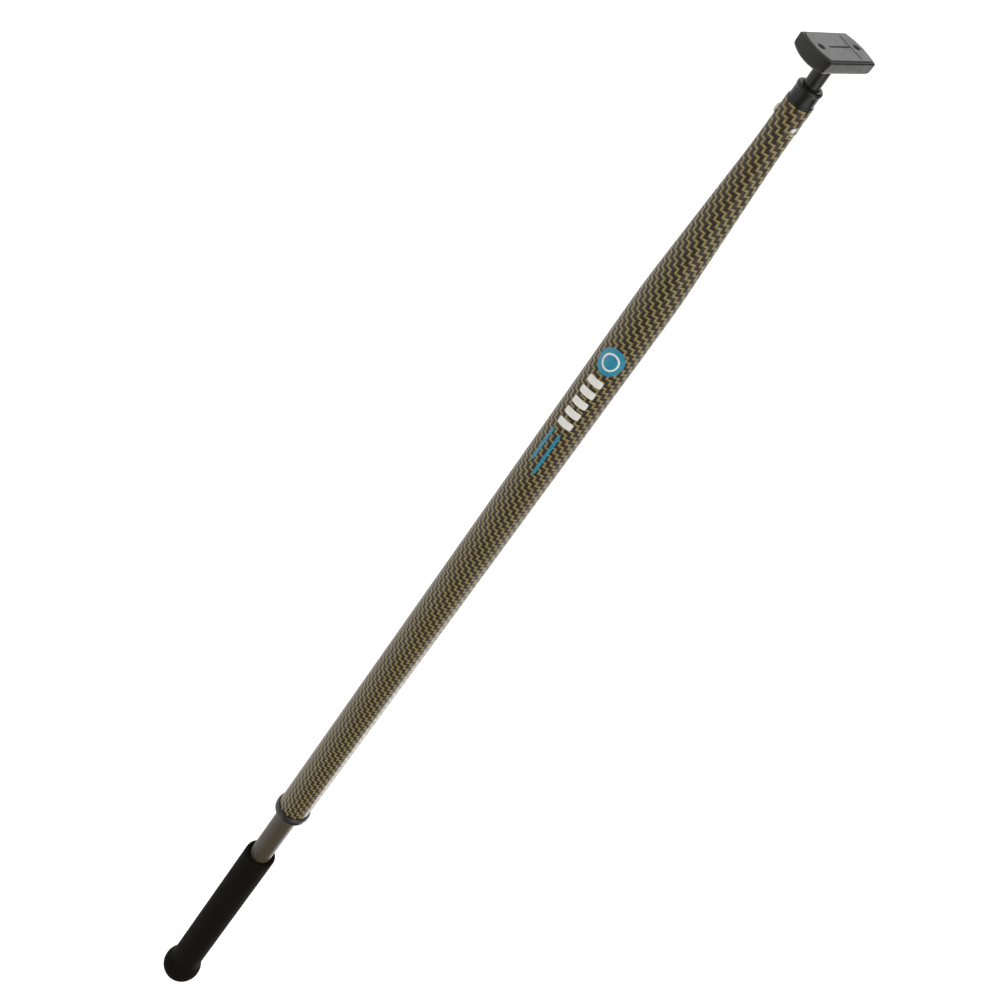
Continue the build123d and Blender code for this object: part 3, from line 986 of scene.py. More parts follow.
def taper_tube_tree() -> bpy.types.NodeTree:
    """A closed tube along X whose radius follows a soft taper.

    A grid is rolled up: its first half is the skin, its second half the bore. The UV map "weave"
    counts pairs of tows round (U) and along (V) from the facing side.

    Returns:
        The node tree.
    """
    tree = new_tree("soft taper tube", [
        ("Start", "NodeSocketFloat"), ("End", "NodeSocketFloat"),
        ("Head Radius", "NodeSocketFloat"), ("Tube Radius", "NodeSocketFloat"),
        ("Taper Start", "NodeSocketFloat"), ("Taper End", "NodeSocketFloat"),
        ("Softness", "NodeSocketFloat"), ("Wall", "NodeSocketFloat"),
        ("Rows", "NodeSocketInt"), ("Segments", "NodeSocketInt"),
        ("Tow Pair", "NodeSocketFloat"), ("Facing", "NodeSocketFloat"),
        ("Material", "NodeSocketMaterial"),
    ])
    nodes, links = tree.nodes, tree.links

    entry = nodes.new("NodeGroupInput")
    entry.label = "Tube sizes"
    leave = nodes.new("NodeGroupOutput")
    leave.label = "Finished tube"

    rows_twice = nodes.new("ShaderNodeMath")
    rows_twice.label = "Rows of skin and bore, and their ends"
    row_count = nodes.new("ShaderNodeMath")
    row_count.label = "Rows of points"
    column_count = nodes.new("ShaderNodeMath")
    column_count.label = "Points round"
    grid = nodes.new("GeometryNodeMeshGrid")
    grid.label = "Sheet to roll up"
    corner = nodes.new("ShaderNodeSeparateXYZ")
    corner.label = "Place on the sheet"
    rows_twice.operation = "MULTIPLY_ADD"
    rows_twice.inputs[1].default_value = 2.0
    rows_twice.inputs[2].default_value = 2.0
    row_count.operation = "ADD"
    row_count.inputs[1].default_value = 1.0
    column_count.operation = "ADD"
    column_count.inputs[1].default_value = 1.0
    grid.inputs["Size X"].default_value = 1.0
    grid.inputs["Size Y"].default_value = 1.0
    links.new(entry.outputs["Rows"], rows_twice.inputs[0])
    links.new(rows_twice.outputs["Value"], row_count.inputs[0])
    links.new(entry.outputs["Segments"], column_count.inputs[0])
    links.new(row_count.outputs["Value"], grid.inputs["Vertices X"])
    links.new(column_count.outputs["Value"], grid.inputs["Vertices Y"])
    links.new(grid.outputs["UV Map"], corner.inputs["Vector"])

    # Row number, then how far along the tube that row stands.
    row = nodes.new("ShaderNodeMath")
    row.label = "Row number"
    row_back = nodes.new("ShaderNodeMath")
    row_back.label = "Row number from the far end"
    mirror_row = nodes.new("ShaderNodeMath")
    mirror_row.label = "Last bore row"
    nearer = nodes.new("ShaderNodeMath")
    nearer.label = "Out along the skin, back along the bore"
    share = nodes.new("ShaderNodeMath")
    share.label = "Share of the length"
    along = nodes.new("ShaderNodeMapRange")
    along.label = "Place along the pole"
    row.operation = "MULTIPLY"
    mirror_row.operation = "SUBTRACT"
    mirror_row.inputs[1].default_value = 1.0
    row_back.operation = "SUBTRACT"
    nearer.operation = "MINIMUM"
    share.operation = "DIVIDE"
    share.use_clamp = True
    links.new(corner.outputs["X"], row.inputs[0])
    links.new(rows_twice.outputs["Value"], row.inputs[1])
    links.new(rows_twice.outputs["Value"], mirror_row.inputs[0])
    links.new(mirror_row.outputs["Value"], row_back.inputs[0])
    links.new(row.outputs["Value"], row_back.inputs[1])
    links.new(row.outputs["Value"], nearer.inputs[0])
    links.new(row_back.outputs["Value"], nearer.inputs[1])
    links.new(nearer.outputs["Value"], share.inputs[0])
    links.new(entry.outputs["Rows"], share.inputs[1])
    links.new(share.outputs["Value"], along.inputs["Value"])
    links.new(entry.outputs["Start"], along.inputs["To Min"])
    links.new(entry.outputs["End"], along.inputs["To Max"])

    # Radius: a straight cone, eased into the parallel stretch at each end.
    cone = nodes.new("ShaderNodeMapRange")
    cone.label = "Straight cone"
    ease_head = nodes.new("ShaderNodeMath")
    ease_head.label = "Ease into the head"
    ease_tube = nodes.new("ShaderNodeMath")
    ease_tube.label = "Ease into the tube"
    cone.clamp = False
    ease_head.operation = "SMOOTH_MAX"
    ease_tube.operation = "SMOOTH_MIN"
    links.new(along.outputs["Result"], cone.inputs["Value"])
    links.new(entry.outputs["Taper Start"], cone.inputs["From Min"])
    links.new(entry.outputs["Taper End"], cone.inputs["From Max"])
    links.new(entry.outputs["Head Radius"], cone.inputs["To Min"])
    links.new(entry.outputs["Tube Radius"], cone.inputs["To Max"])
    links.new(cone.outputs["Result"], ease_head.inputs[0])
    links.new(entry.outputs["Head Radius"], ease_head.inputs[1])
    links.new(entry.outputs["Softness"], ease_head.inputs[2])
    links.new(ease_head.outputs["Value"], ease_tube.inputs[0])
    links.new(entry.outputs["Tube Radius"], ease_tube.inputs[1])
    links.new(entry.outputs["Softness"], ease_tube.inputs[2])

    # The bore lies one wall below the skin.
    past_skin = nodes.new("ShaderNodeMath")
    past_skin.label = "Past the skin rows"
    before_close = nodes.new("ShaderNodeMath")
    before_close.label = "Before the closing row"
    in_bore = nodes.new("ShaderNodeMath")
    in_bore.label = "Bore row"
    half_row = nodes.new("ShaderNodeMath")
    half_row.label = "Half a row past the skin"
    closing_row = nodes.new("ShaderNodeMath")
    closing_row.label = "Half a row before the end"
    depth = nodes.new("ShaderNodeMath")
    depth.label = "Depth below the skin"
    radius = nodes.new("ShaderNodeMath")
    radius.label = "Radius of this row"
    past_skin.operation = "GREATER_THAN"
    before_close.operation = "LESS_THAN"
    in_bore.operation = "MULTIPLY"
    half_row.operation = "ADD"
    half_row.inputs[1].default_value = 0.5
    closing_row.operation = "SUBTRACT"
    closing_row.inputs[1].default_value = 0.5
    depth.operation = "MULTIPLY"
    radius.operation = "SUBTRACT"
    links.new(entry.outputs["Rows"], half_row.inputs[0])
    links.new(rows_twice.outputs["Value"], closing_row.inputs[0])
    links.new(row.outputs["Value"], past_skin.inputs[0])
    links.new(half_row.outputs["Value"], past_skin.inputs[1])
    links.new(row.outputs["Value"], before_close.inputs[0])
    links.new(closing_row.outputs["Value"], before_close.inputs[1])
    links.new(past_skin.outputs["Value"], in_bore.inputs[0])
    links.new(before_close.outputs["Value"], in_bore.inputs[1])
    links.new(in_bore.outputs["Value"], depth.inputs[0])
    links.new(entry.outputs["Wall"], depth.inputs[1])
    links.new(ease_tube.outputs["Value"], radius.inputs[0])
    links.new(depth.outputs["Value"], radius.inputs[1])

    # Roll the sheet round the axis, with its seam opposite the facing side.
    turn = nodes.new("ShaderNodeMapRange")
    turn.label = "Angle from the facing side"
    angle = nodes.new("ShaderNodeMath")
    angle.label = "Angle round the pole"
    roll = nodes.new("GeometryNodeSetPosition")
    roll.label = "Roll up"
    turn.inputs["To Min"].default_value = -math.pi
    turn.inputs["To Max"].default_value = math.pi
    angle.operation = "ADD"
    links.new(corner.outputs["Y"], turn.inputs["Value"])
    links.new(turn.outputs["Result"], angle.inputs[0])
    links.new(entry.outputs["Facing"], angle.inputs[1])
    point = point_round_pole(tree, along.outputs["Result"], angle.outputs["Value"], radius.outputs["Value"])

    # Tow pairs: the cloth keeps its pitch, so fewer tows go round the thin end.
    hoop = nodes.new("ShaderNodeMath")
    hoop.label = "Distance round from the facing side"
    pairs_round = nodes.new("ShaderNodeMath")
    pairs_round.label = "Tow pairs round"
    toward_head = nodes.new("ShaderNodeMath")
    toward_head.label = "Distance toward the head"
    pairs_along = nodes.new("ShaderNodeMath")
    pairs_along.label = "Tow pairs along"
    pair_map = nodes.new("ShaderNodeCombineXYZ")
    pair_map.label = "Weave map"
    store = nodes.new("GeometryNodeStoreNamedAttribute")
    store.label = "Keep the weave map"
    hoop.operation = "MULTIPLY"
    pairs_round.operation = "DIVIDE"
    toward_head.operation = "SUBTRACT"
    pairs_along.operation = "DIVIDE"
    store.data_type = "FLOAT2"
    store.domain = "CORNER"
    store.inputs["Name"].default_value = "weave"
    links.new(turn.outputs["Result"], hoop.inputs[0])
    links.new(ease_tube.outputs["Value"], hoop.inputs[1])
    links.new(hoop.outputs["Value"], pairs_round.inputs[0])
    links.new(entry.outputs["Tow Pair"], pairs_round.inputs[1])
    links.new(entry.outputs["End"], toward_head.inputs[0])
    links.new(along.outputs["Result"], toward_head.inputs[1])
    links.new(toward_head.outputs["Value"], pairs_along.inputs[0])
    links.new(entry.outputs["Tow Pair"], pairs_along.inputs[1])
    links.new(pairs_round.outputs["Value"], pair_map.inputs["X"])
    links.new(pairs_along.outputs["Value"], pair_map.inputs["Y"])
    links.new(grid.outputs["Mesh"], store.inputs["Geometry"])
    links.new(pair_map.outputs["Vector"], store.inputs["Value"])
    links.new(store.outputs["Geometry"], roll.inputs["Geometry"])
    links.new(point, roll.inputs["Position"])

    close = nodes.new("GeometryNodeMergeByDistance")
    close.label = "Close the seam and the ends"
    smooth = nodes.new("GeometryNodeSetShadeSmooth")
    smooth.label = "Smooth skin"
    realize = nodes.new("GeometryNodeRealizeInstances")
    realize.label = "One plain mesh"
    dress = nodes.new("GeometryNodeSetMaterial")
    dress.label = "Laminate"
    close.inputs["Distance"].default_value = 1e-6
    links.new(roll.outputs["Geometry"], close.inputs["Geometry"])
    links.new(close.outputs["Geometry"], smooth.inputs["Geometry"])
    links.new(smooth.outputs["Geometry"], realize.inputs["Geometry"])
    links.new(realize.outputs["Geometry"], dress.inputs["Geometry"])
    links.new(entry.outputs["Material"], dress.inputs["Material"])
    links.new(dress.outputs["Geometry"], leave.inputs["Geometry"])
    spread_nodes(tree)
    return tree


def wrapped_film_tree() -> bpy.types.NodeTree:
    """Copies of a flat blank, stepped along the pole and wrapped onto its skin.

    The blank lies flat: X along the pole, Y round it and Z out of the skin.

    Returns:
        The node tree.
    """
    tree = new_tree("wrapped film", [
        ("Count", "NodeSocketInt"), ("First", "NodeSocketVector"), ("Step", "NodeSocketVector"),
        ("Skin Radius", "NodeSocketFloat"), ("Facing", "NodeSocketFloat"),
        ("Material", "NodeSocketMaterial"),
    ])
    nodes, links = tree.nodes, tree.links
    entry = nodes.new("NodeGroupInput")
    entry.label = "Blank and its places"
    leave = nodes.new("NodeGroupOutput")
    leave.label = "Films on the pole"
    line = nodes.new("GeometryNodeMeshLine")
    line.label = "Place of each film"
    copies = nodes.new("GeometryNodeInstanceOnPoints")
    copies.label = "One blank at each place"
    realize = nodes.new("GeometryNodeRealizeInstances")
    realize.label = "Plain mesh to bend"
    flat = nodes.new("GeometryNodeInputPosition")
    flat.label = "Place on the flat"
    parts = nodes.new("ShaderNodeSeparateXYZ")
    parts.label = "Along, round and out"
    radius = nodes.new("ShaderNodeMath")
    radius.label = "Distance from the axis"
    turn = nodes.new("ShaderNodeMath")
    turn.label = "Angle from the facing side"
    angle = nodes.new("ShaderNodeMath")
    angle.label = "Angle round the pole"
    wrap = nodes.new("GeometryNodeSetPosition")
    wrap.label = "Wrap onto the skin"
    dress = nodes.new("GeometryNodeSetMaterial")
    dress.label = "Ink"
    line.mode = "OFFSET"
    radius.operation = "ADD"
    turn.operation = "DIVIDE"
    angle.operation = "SUBTRACT"
    links.new(entry.outputs["Count"], line.inputs["Count"])
    links.new(entry.outputs["First"], line.inputs["Start Location"])
    links.new(entry.outputs["Step"], line.inputs["Offset"])
    links.new(line.outputs["Mesh"], copies.inputs["Points"])
    links.new(entry.outputs["Geometry"], copies.inputs["Instance"])
    links.new(copies.outputs["Instances"], realize.inputs["Geometry"])
    links.new(flat.outputs["Position"], parts.inputs["Vector"])
    links.new(parts.outputs["Z"], radius.inputs[0])
    links.new(entry.outputs["Skin Radius"], radius.inputs[1])
    links.new(parts.outputs["Y"], turn.inputs[0])
    links.new(entry.outputs["Skin Radius"], turn.inputs[1])
    links.new(entry.outputs["Facing"], angle.inputs[0])
    links.new(turn.outputs["Value"], angle.inputs[1])
    point = point_round_pole(tree, parts.outputs["X"], angle.outputs["Value"], radius.outputs["Value"])
    links.new(realize.outputs["Geometry"], wrap.inputs["Geometry"])
    links.new(point, wrap.inputs["Position"])
    links.new(wrap.outputs["Geometry"], dress.inputs["Geometry"])
    links.new(entry.outputs["Material"], dress.inputs["Material"])
    links.new(dress.outputs["Geometry"], leave.inputs["Geometry"])
    spread_nodes(tree)
    return tree


def rivet_tree() -> bpy.types.NodeTree:
    """One rivet head on each point of the mesh, standing straight out from the pole's axis.

    Returns:
        The node tree.
    """
    tree = new_tree("rivet heads", [("Head", "NodeSocketObject"), ("Material", "NodeSocketMaterial")])
    nodes, links = tree.nodes, tree.links
    entry = nodes.new("NodeGroupInput")
    entry.label = "Rivet places"
    leave = nodes.new("NodeGroupOutput")
    leave.label = "Rivets"
    head = nodes.new("GeometryNodeObjectInfo")
    head.label = "One rivet head"
    place = nodes.new("GeometryNodeInputPosition")
    place.label = "Place of the rivet"
    outward = nodes.new("ShaderNodeVectorMath")
    outward.label = "Straight out from the axis"
    aim = nodes.new("FunctionNodeAlignRotationToVector")
    aim.label = "Point the head outward"
    copies = nodes.new("GeometryNodeInstanceOnPoints")
    copies.label = "A head at each place"
    realize = nodes.new("GeometryNodeRealizeInstances")
    realize.label = "One plain mesh"
    dress = nodes.new("GeometryNodeSetMaterial")
    dress.label = "Rivet alloy"
    outward.operation = "MULTIPLY"
    outward.inputs[1].default_value = (0.0, 1.0, 1.0)
    aim.axis = "Z"
    links.new(entry.outputs["Head"], head.inputs["Object"])
    links.new(place.outputs["Position"], outward.inputs[0])
    links.new(outward.outputs["Vector"], aim.inputs["Vector"])
    links.new(entry.outputs["Geometry"], copies.inputs["Points"])
    links.new(head.outputs["Geometry"], copies.inputs["Instance"])
    links.new(aim.outputs["Rotation"], copies.inputs["Rotation"])
    links.new(copies.outputs["Instances"], realize.inputs["Geometry"])
    links.new(realize.outputs["Geometry"], dress.inputs["Geometry"])
    links.new(entry.outputs["Material"], dress.inputs["Material"])
    links.new(dress.outputs["Geometry"], leave.inputs["Geometry"])
    spread_nodes(tree)
    return tree


def spread_nodes(tree: bpy.types.NodeTree) -> None:
    """Lay a tree's nodes out in columns, in the order in which they were made."""
    for number, node in enumerate(tree.nodes):
        node.location = (220 * (number // 4), -200 * (number % 4))


# ---------------------------------------------------------------------------------------------
# Sub-assemblies
# ---------------------------------------------------------------------------------------------


@dataclass
class RubberJoint:
    """The rubber block, its inset plate and the rubber neck."""

    rubber: bpy.types.Material
    plate: bpy.types.Material
    voxel: float = 0.00028
    plate_voxel: float = 0.00024
    block_passes: int = 6
    plate_passes: int = 3
    neck_overlap: float = 0.0006
    rings_per_half: int = 14

    def build(self) -> list[bpy.types.Object]:
        """Build the block, the plate and both halves of the neck."""
        return [self.make_block(), self.make_plate(), *self.make_neck()]

    def make_block(self) -> bpy.types.Object:
        """Build the block, with every edge softened as moulded rubber has it."""
        mesh = softened_copy("joint_block", "rubber_block", self.voxel, self.block_passes)
        piece = link_object("rubber_block", mesh, self.rubber)
        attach(piece, Body.JOINT_BASE.value)
        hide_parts("joint_block")
        return piece

    def make_plate(self) -> bpy.types.Object:
        """Build the inset plate with its holes and groove."""
        mesh = softened_copy("mounting_plate", "face_plate", self.plate_voxel, self.plate_passes)
        piece = link_object("face_plate", mesh, self.plate)
        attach(piece, Body.JOINT_BASE.value)
        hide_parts("mounting_plate")
        return piece

    def make_neck(self) -> list[bpy.types.Object]:
        """Build the neck in two halves, one at each end of the neck, meeting at its middle."""
        low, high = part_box("neck")
        middle = (low.x + high.x) / 2
        halves = (
            ("neck_near", low.x - self.neck_overlap, low.x, middle, middle,
             Body.JOINT_BASE, Body.RUBBER_NECK),
            ("neck_far", middle, middle, high.x, high.x + self.neck_overlap,
             Body.RUBBER_NECK, Body.OUTER_POLE),
        )
        pieces = []
        for name, first, start, end, last, near_body, far_body in halves:
            profile = [(first, 0.0)]
            for ring in range(self.rings_per_half + 1):
                profile.append((first + (last - first) * ring / self.rings_per_half, high.y))
            profile.append((last, 0.0))
            mesh = turned_mesh(name, profile, segments=96, closed=False)
            piece = link_object(name, mesh, self.rubber)
            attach(piece, near_body.value)
            piece.parent = None
            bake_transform(piece)
            pieces.append(piece)
        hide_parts("neck")
        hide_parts("neck")
        return pieces


@dataclass
class HeadPlug:
    """The lipped plug in the tube's thin end and the two rivets that hold it."""

    plastic: bpy.types.Material
    alloy: bpy.types.Material
    steel: bpy.types.Material
    lip_radius: float = 0.0076
    body_radius: float = 0.0073
    bore_radius: float = 0.0047
    insert_radius: float = 0.0067
    visible_end: float = 0.0353
    rivet_places: tuple[tuple[float, float], ...] = ((0.0440, 240.5), (0.0478, 100.5))
    rivet_seat: float = 0.008
    rivet_head_radius: float = 0.0028
    rivet_head_height: float = 0.0013
    mandrel_radius: float = 0.00085

    def build(self) -> list[bpy.types.Object]:
        """Build the plug, the rivet heads and the mandrel ends."""
        return [self.make_plug(), self.make_rivets(), self.make_mandrels()]

    def make_plug(self) -> bpy.types.Object:
        """Build the plug with its two rounded lips."""
        low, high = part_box("stem_plug")
        start = low.x
        flange = high.y
        profile = rounded([
            (start + 0.0006, self.bore_radius, 0.0), (start, self.bore_radius + 0.0005, 0.0003),
            (start, self.lip_radius - 0.0009, 0.0004), (start + 0.0008, self.lip_radius, 0.0006),
            (start + 0.0022, self.lip_radius, 0.0003), (start + 0.0026, self.body_radius, 0.0003),
            (self.visible_end - 0.0020, self.body_radius, 0.0004),
            (self.visible_end - 0.0015, flange, 0.0004), (self.visible_end - 0.0001, flange, 0.0004),
            (self.visible_end - 0.0001, self.insert_radius, 0.0), (high.x, self.insert_radius, 0.0004),
            (high.x, self.bore_radius, 0.0),
        ])
        mesh = turned_mesh("head_plug", profile, segments=128)
        piece = link_object("head_plug", mesh, self.plastic)
        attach(piece, Body.OUTER_POLE.value)
        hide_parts("stem_plug")
        return piece

    def rivet_points(self) -> bpy.types.Mesh:
        """The points on the tube's skin where the rivets stand."""
        mesh = bpy.data.meshes.new("rivet_points")
        points = []
        for x, direction in self.rivet_places:
            angle = math.radians(direction)
            points.append((x, self.rivet_seat * math.cos(angle), self.rivet_seat * math.sin(angle)))
        mesh.from_pydata(points, [], [])
        return mesh

    def upright(self, name: str, profile: Profile, segments: int) -> bpy.types.Object:
        """Turn a profile about +Z.

        Args:
            name: The mesh's name.
            profile: (height, radius) points, from the bottom to the top.
            segments: Number of faces round.

        Returns:
            An object to be copied by a Geometry Nodes tree.
        """
        mesh = turned_mesh(name, profile, segments=segments)
        mesh.transform(Matrix.Rotation(math.radians(-90), 4, "Y"))
        source = bpy.data.objects.new(name + "_source", mesh)
        bpy.context.scene.collection.objects.link(source)
        return source

    def at_each_rivet(
        self, name: str, blank: str, profile: Profile, segments: int, finish: bpy.types.Material
    ) -> bpy.types.Object:
        """Stand a turned blank in each rivet's place.

        Args:
            name: The piece's name.
            blank: The blank's name.
            profile: (height, radius) points of the blank.
            segments: Number of faces round the blank.
            finish: The material of the piece.

        Returns:
            The piece, with one copy of the blank for each rivet.
        """
        source = self.upright(blank, profile, segments)
        values = {"Head": source, "Material": finish}
        mesh = node_output(name, self.rivet_points(), rivet_tree(), values)
        bpy.data.objects.remove(source)
        return link_object(name, mesh, finish)

    def make_rivets(self) -> bpy.types.Object:
        """Build a domed head with its hollow middle at each rivet's place."""
        height, radius = self.rivet_head_height, self.rivet_head_radius
        profile = rounded([
            (-0.0006, 0.0, 0.0), (-0.0006, radius * 0.9, 0.0), (0.0001, radius, 0.0003),
            (height * 0.45, radius * 0.93, 0.0005), (height * 0.85, radius * 0.68, 0.0008),
            (height, radius * 0.46, 0.0002), (height, self.mandrel_radius + 0.0001, 0.0001),
            (height * 0.5, self.mandrel_radius, 0.0), (height * 0.5, 0.0, 0.0),
        ], steps=5)
        piece = self.at_each_rivet("rivet_heads", "rivet_head", profile, 40, self.alloy)
        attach(piece, Body.OUTER_POLE.value)
        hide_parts("plug_rivets")
        return piece

    def make_mandrels(self) -> bpy.types.Object:
        """Build the broken end of the mandrel inside each rivet."""
        height, radius = self.rivet_head_height, self.mandrel_radius
        profile = rounded([
            (0.0, 0.0, 0.0), (0.0, radius * 0.96, 0.0), (height * 0.72, radius * 0.96, 0.0002),
            (height * 0.78, radius * 0.5, 0.0001), (height * 0.7, 0.0, 0.0),
        ], steps=4)
        piece = self.at_each_rivet("mandrel_ends", "mandrel_end", profile, 24, self.steel)
        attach(piece, Body.OUTER_POLE.value)
        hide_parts("rivet_mandrels")
        return piece


@dataclass
class OuterTube:
    """The tapered woven tube and the printed film on it."""

    laminate: bpy.types.Material
    blue: bpy.types.Material
    white: bpy.types.Material
    head_radius: float = 0.008
    taper_start: float = 0.065
    taper_end: float = 0.1735
    softness: float = 0.00103
    wall: float = 0.00125
    tows_round: int = 48
    rows: int = 190
    segments: int = 144
    film_thickness: float = 0.0001
    film_gap: float = 0.00002
    disc_sides: tuple[float, float] = (0.0196, 0.017)
    disc_offset: float = -0.0012
    bar_sides: tuple[float, float] = (0.0055, 0.0104)
    bar_offset: float = -0.002
    bar_count: int = 5
    line_lengths: tuple[float, float] = (0.0285, 0.0383)
    line_offsets: tuple[float, float] = (-0.0064, -0.0002)
    line_width: float = 0.002
    line_squareness: float = 14.0
    ring_sides: tuple[float, float] = (0.0126, 0.011)
    ring_width: float = 0.0013

    def build(self) -> list[bpy.types.Object]:
        """Build the tube and its printed films."""
        return [self.make_tube(), *self.make_films()]

    def make_tube(self) -> bpy.types.Object:
        """Roll up the woven tube."""
        low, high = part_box("outer_tube")
        radius = high.y
        values = {
            "Start": low.x, "End": high.x, "Head Radius": self.head_radius, "Tube Radius": radius,
            "Taper Start": self.taper_start, "Taper End": self.taper_end, "Softness": self.softness,
            "Wall": self.wall, "Rows": self.rows, "Segments": self.segments,
            "Tow Pair": 2 * math.pi * radius / (self.tows_round / 2), "Facing": TRIM_FACING,
            "Material": self.laminate,
        }
        mesh = node_output("woven_tube", bpy.data.meshes.new("tube_start"), taper_tube_tree(), values)
        shape = bmesh.new()
        shape.from_mesh(mesh)
        finish_shape(shape)
        shape.to_mesh(mesh)
        shape.free()
        piece = link_object("woven_tube", mesh, self.laminate)
        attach(piece, Body.OUTER_POLE.value)
        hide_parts("outer_tube")
        return piece

    def blank(self, name: str, outline: list[tuple[float, float]], inner: float = 0.0) -> bpy.types.Mesh:
        """A flat film blank of a rounded outline.

        Args:
            name: The mesh's name.
            outline: The outer edge, as points about the blank's middle.
            inner: Share of the outline where the hole's edge lies, or nought for no hole.

        Returns:
            The closed blank, its underside at nought.
        """
        shape = bmesh.new()
        thickness = self.film_thickness
        edge = 1.0 - 0.35 * thickness / max(abs(y) for _, y in outline)
        shares = [inner + (edge - inner) * step / 8 for step in range(9)]
        loops = [(share, thickness) for share in shares if share > 0]
        loops += [(1.0, thickness * 0.6), (1.0, 0.0)]
        if inner > 0:
            loops += [(inner, 0.0)]
        rings = [[shape.verts.new((x * share, y * share, z)) for x, y in outline] for share, z in loops]
        count = len(outline)
        pairs = list(zip(rings, rings[1:]))
        if inner > 0:
            pairs.append((rings[-1], rings[0]))
        for near, far in pairs:
            for step in range(count):
                after = (step + 1) % count
                shape.faces.new([near[step], near[after], far[after], far[step]])
        if inner <= 0:
            for ring, height in ((rings[0], thickness), (rings[-1], 0.0)):
                centre = shape.verts.new((0, 0, height))
                for step in range(count):
                    shape.faces.new([ring[step], ring[(step + 1) % count], centre])
        finish_shape(shape)
        return as_mesh(shape, name)

    @staticmethod
    def round_outline(length: float, width: float, count: int = 96) -> list[tuple[float, float]]:
        """An ellipse as points."""
        points = []
        for step in range(count):
            angle = 2 * math.pi * step / count
            points.append((length / 2 * math.cos(angle), width / 2 * math.sin(angle)))
        return points

    @staticmethod
    def block_outline(
        length: float, width: float, power: float = 7.0, count: int = 96
    ) -> list[tuple[float, float]]:
        """A rectangle with rounded corners, from a superellipse."""
        points = []
        for step in range(count):
            angle = 2 * math.pi * step / count
            cosine, sine = math.cos(angle), math.sin(angle)
            reach = (abs(cosine * 2 / length) ** power + abs(sine * 2 / width) ** power) ** (-1 / power)
            points.append((reach * cosine, reach * sine))
        return points

    def make_films(self) -> list[bpy.types.Object]:
        """Wrap the disc, its ring, the bars and the two lines onto the tube."""
        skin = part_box("outer_tube")[1].y + self.film_gap
        disc_low, disc_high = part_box("trim_disc")
        bars_low, bars_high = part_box("trim_bars")
        lines_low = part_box("trim_lines")[0]
        disc_x = (disc_low.x + disc_high.x) / 2
        bar_length = self.bar_sides[0]
        bar_step = (bars_high.x - bars_low.x - bar_length) / (self.bar_count - 1)
        ring_hole = 1.0 - 2 * self.ring_width / self.ring_sides[0]
        still = (0.0, 0.0, 0.0)
        lift = self.film_thickness
        films = (
            ("disc_film", self.round_outline(*self.disc_sides), 0.0, 1,
             (disc_x, self.disc_offset, 0.0), still, self.blue, "trim_blue", "trim_disc"),
            ("ring_film", self.round_outline(*self.ring_sides), ring_hole, 1,
             (disc_x, self.disc_offset, lift), still, self.white, "trim_white", None),
            ("bar_films", self.block_outline(*self.bar_sides), 0.0, self.bar_count,
             (bars_low.x + bar_length / 2, self.bar_offset, 0.0), (bar_step, 0.0, 0.0),
             self.white, "trim_white", "trim_bars"),
            *(
                (f"line_film_{number}",
                 self.block_outline(length, self.line_width, power=self.line_squareness), 0.0, 1,
                 (lines_low.x + length / 2, offset, 0.0), still, self.blue, "trim_blue", "trim_lines")
                for number, (length, offset) in enumerate(zip(self.line_lengths, self.line_offsets))
            ),
        )
        tree = wrapped_film_tree()
        pieces = []
        for name, outline, inner, count, first, step, finish, slot, node in films:
            values = {
                "Count": count, "First": first, "Step": step, "Skin Radius": skin,
                "Facing": TRIM_FACING, "Material": finish,
            }
            mesh = node_output(name, self.blank(name + "_blank", outline, inner), tree, values)
            piece = link_object(name, mesh, finish)
            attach(piece, Body.OUTER_POLE.value)
            if node:
                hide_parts(node)
            pieces.append(piece)
        return pieces


@dataclass
class EndCollar:
    """The rounded black ring at the open end of the outer tube."""

    plastic: bpy.types.Material
    lip_start: float = 0.7254
    end: float = 0.7345
    tube_end: float = 0.727
    tube_radius: float = 0.01255
    skirt_radius: float = 0.0112
    bore: float = 0.0103
    bush_end: float = 0.7293
    mouth: float = 0.0091
    face_radius: float = 0.0113
    shoulder_radius: float = 0.0128
    lip_radius: float = 0.0132

    def build(self) -> list[bpy.types.Object]:
        """Build the ring with its skirt."""
        low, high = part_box("collar")
        crown = high.y
        middle = (self.lip_start + self.end) / 2
        half = (self.end - self.lip_start) / 2
        profile = rounded([
            (low.x, self.bore, 0.0), (self.bush_end, self.bore, 0.0), (self.bush_end, self.mouth, 0.0),
            (self.end - 0.0007, self.mouth, 0.0004), (self.end, self.mouth + 0.0007, 0.0004),
            (self.end, self.face_radius, 0.0009), (self.end - 0.0008, self.shoulder_radius, 0.0012),
            (middle + half * 0.42, crown - 0.0001, 0.0022),
            (middle - half * 0.42, crown - 0.0001, 0.0018),
            (self.lip_start, self.lip_radius, 0.0007), (self.lip_start, self.tube_radius, 0.0002),
            (self.tube_end, self.tube_radius, 0.0), (self.tube_end, self.skirt_radius, 0.0),
            (low.x, self.skirt_radius, 0.0),
        ], steps=8)
        mesh = turned_mesh("end_collar", profile, segments=144)
        piece = link_object("end_collar", mesh, self.plastic)
        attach(piece, Body.OUTER_POLE.value)
        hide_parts("collar")
        return [piece]


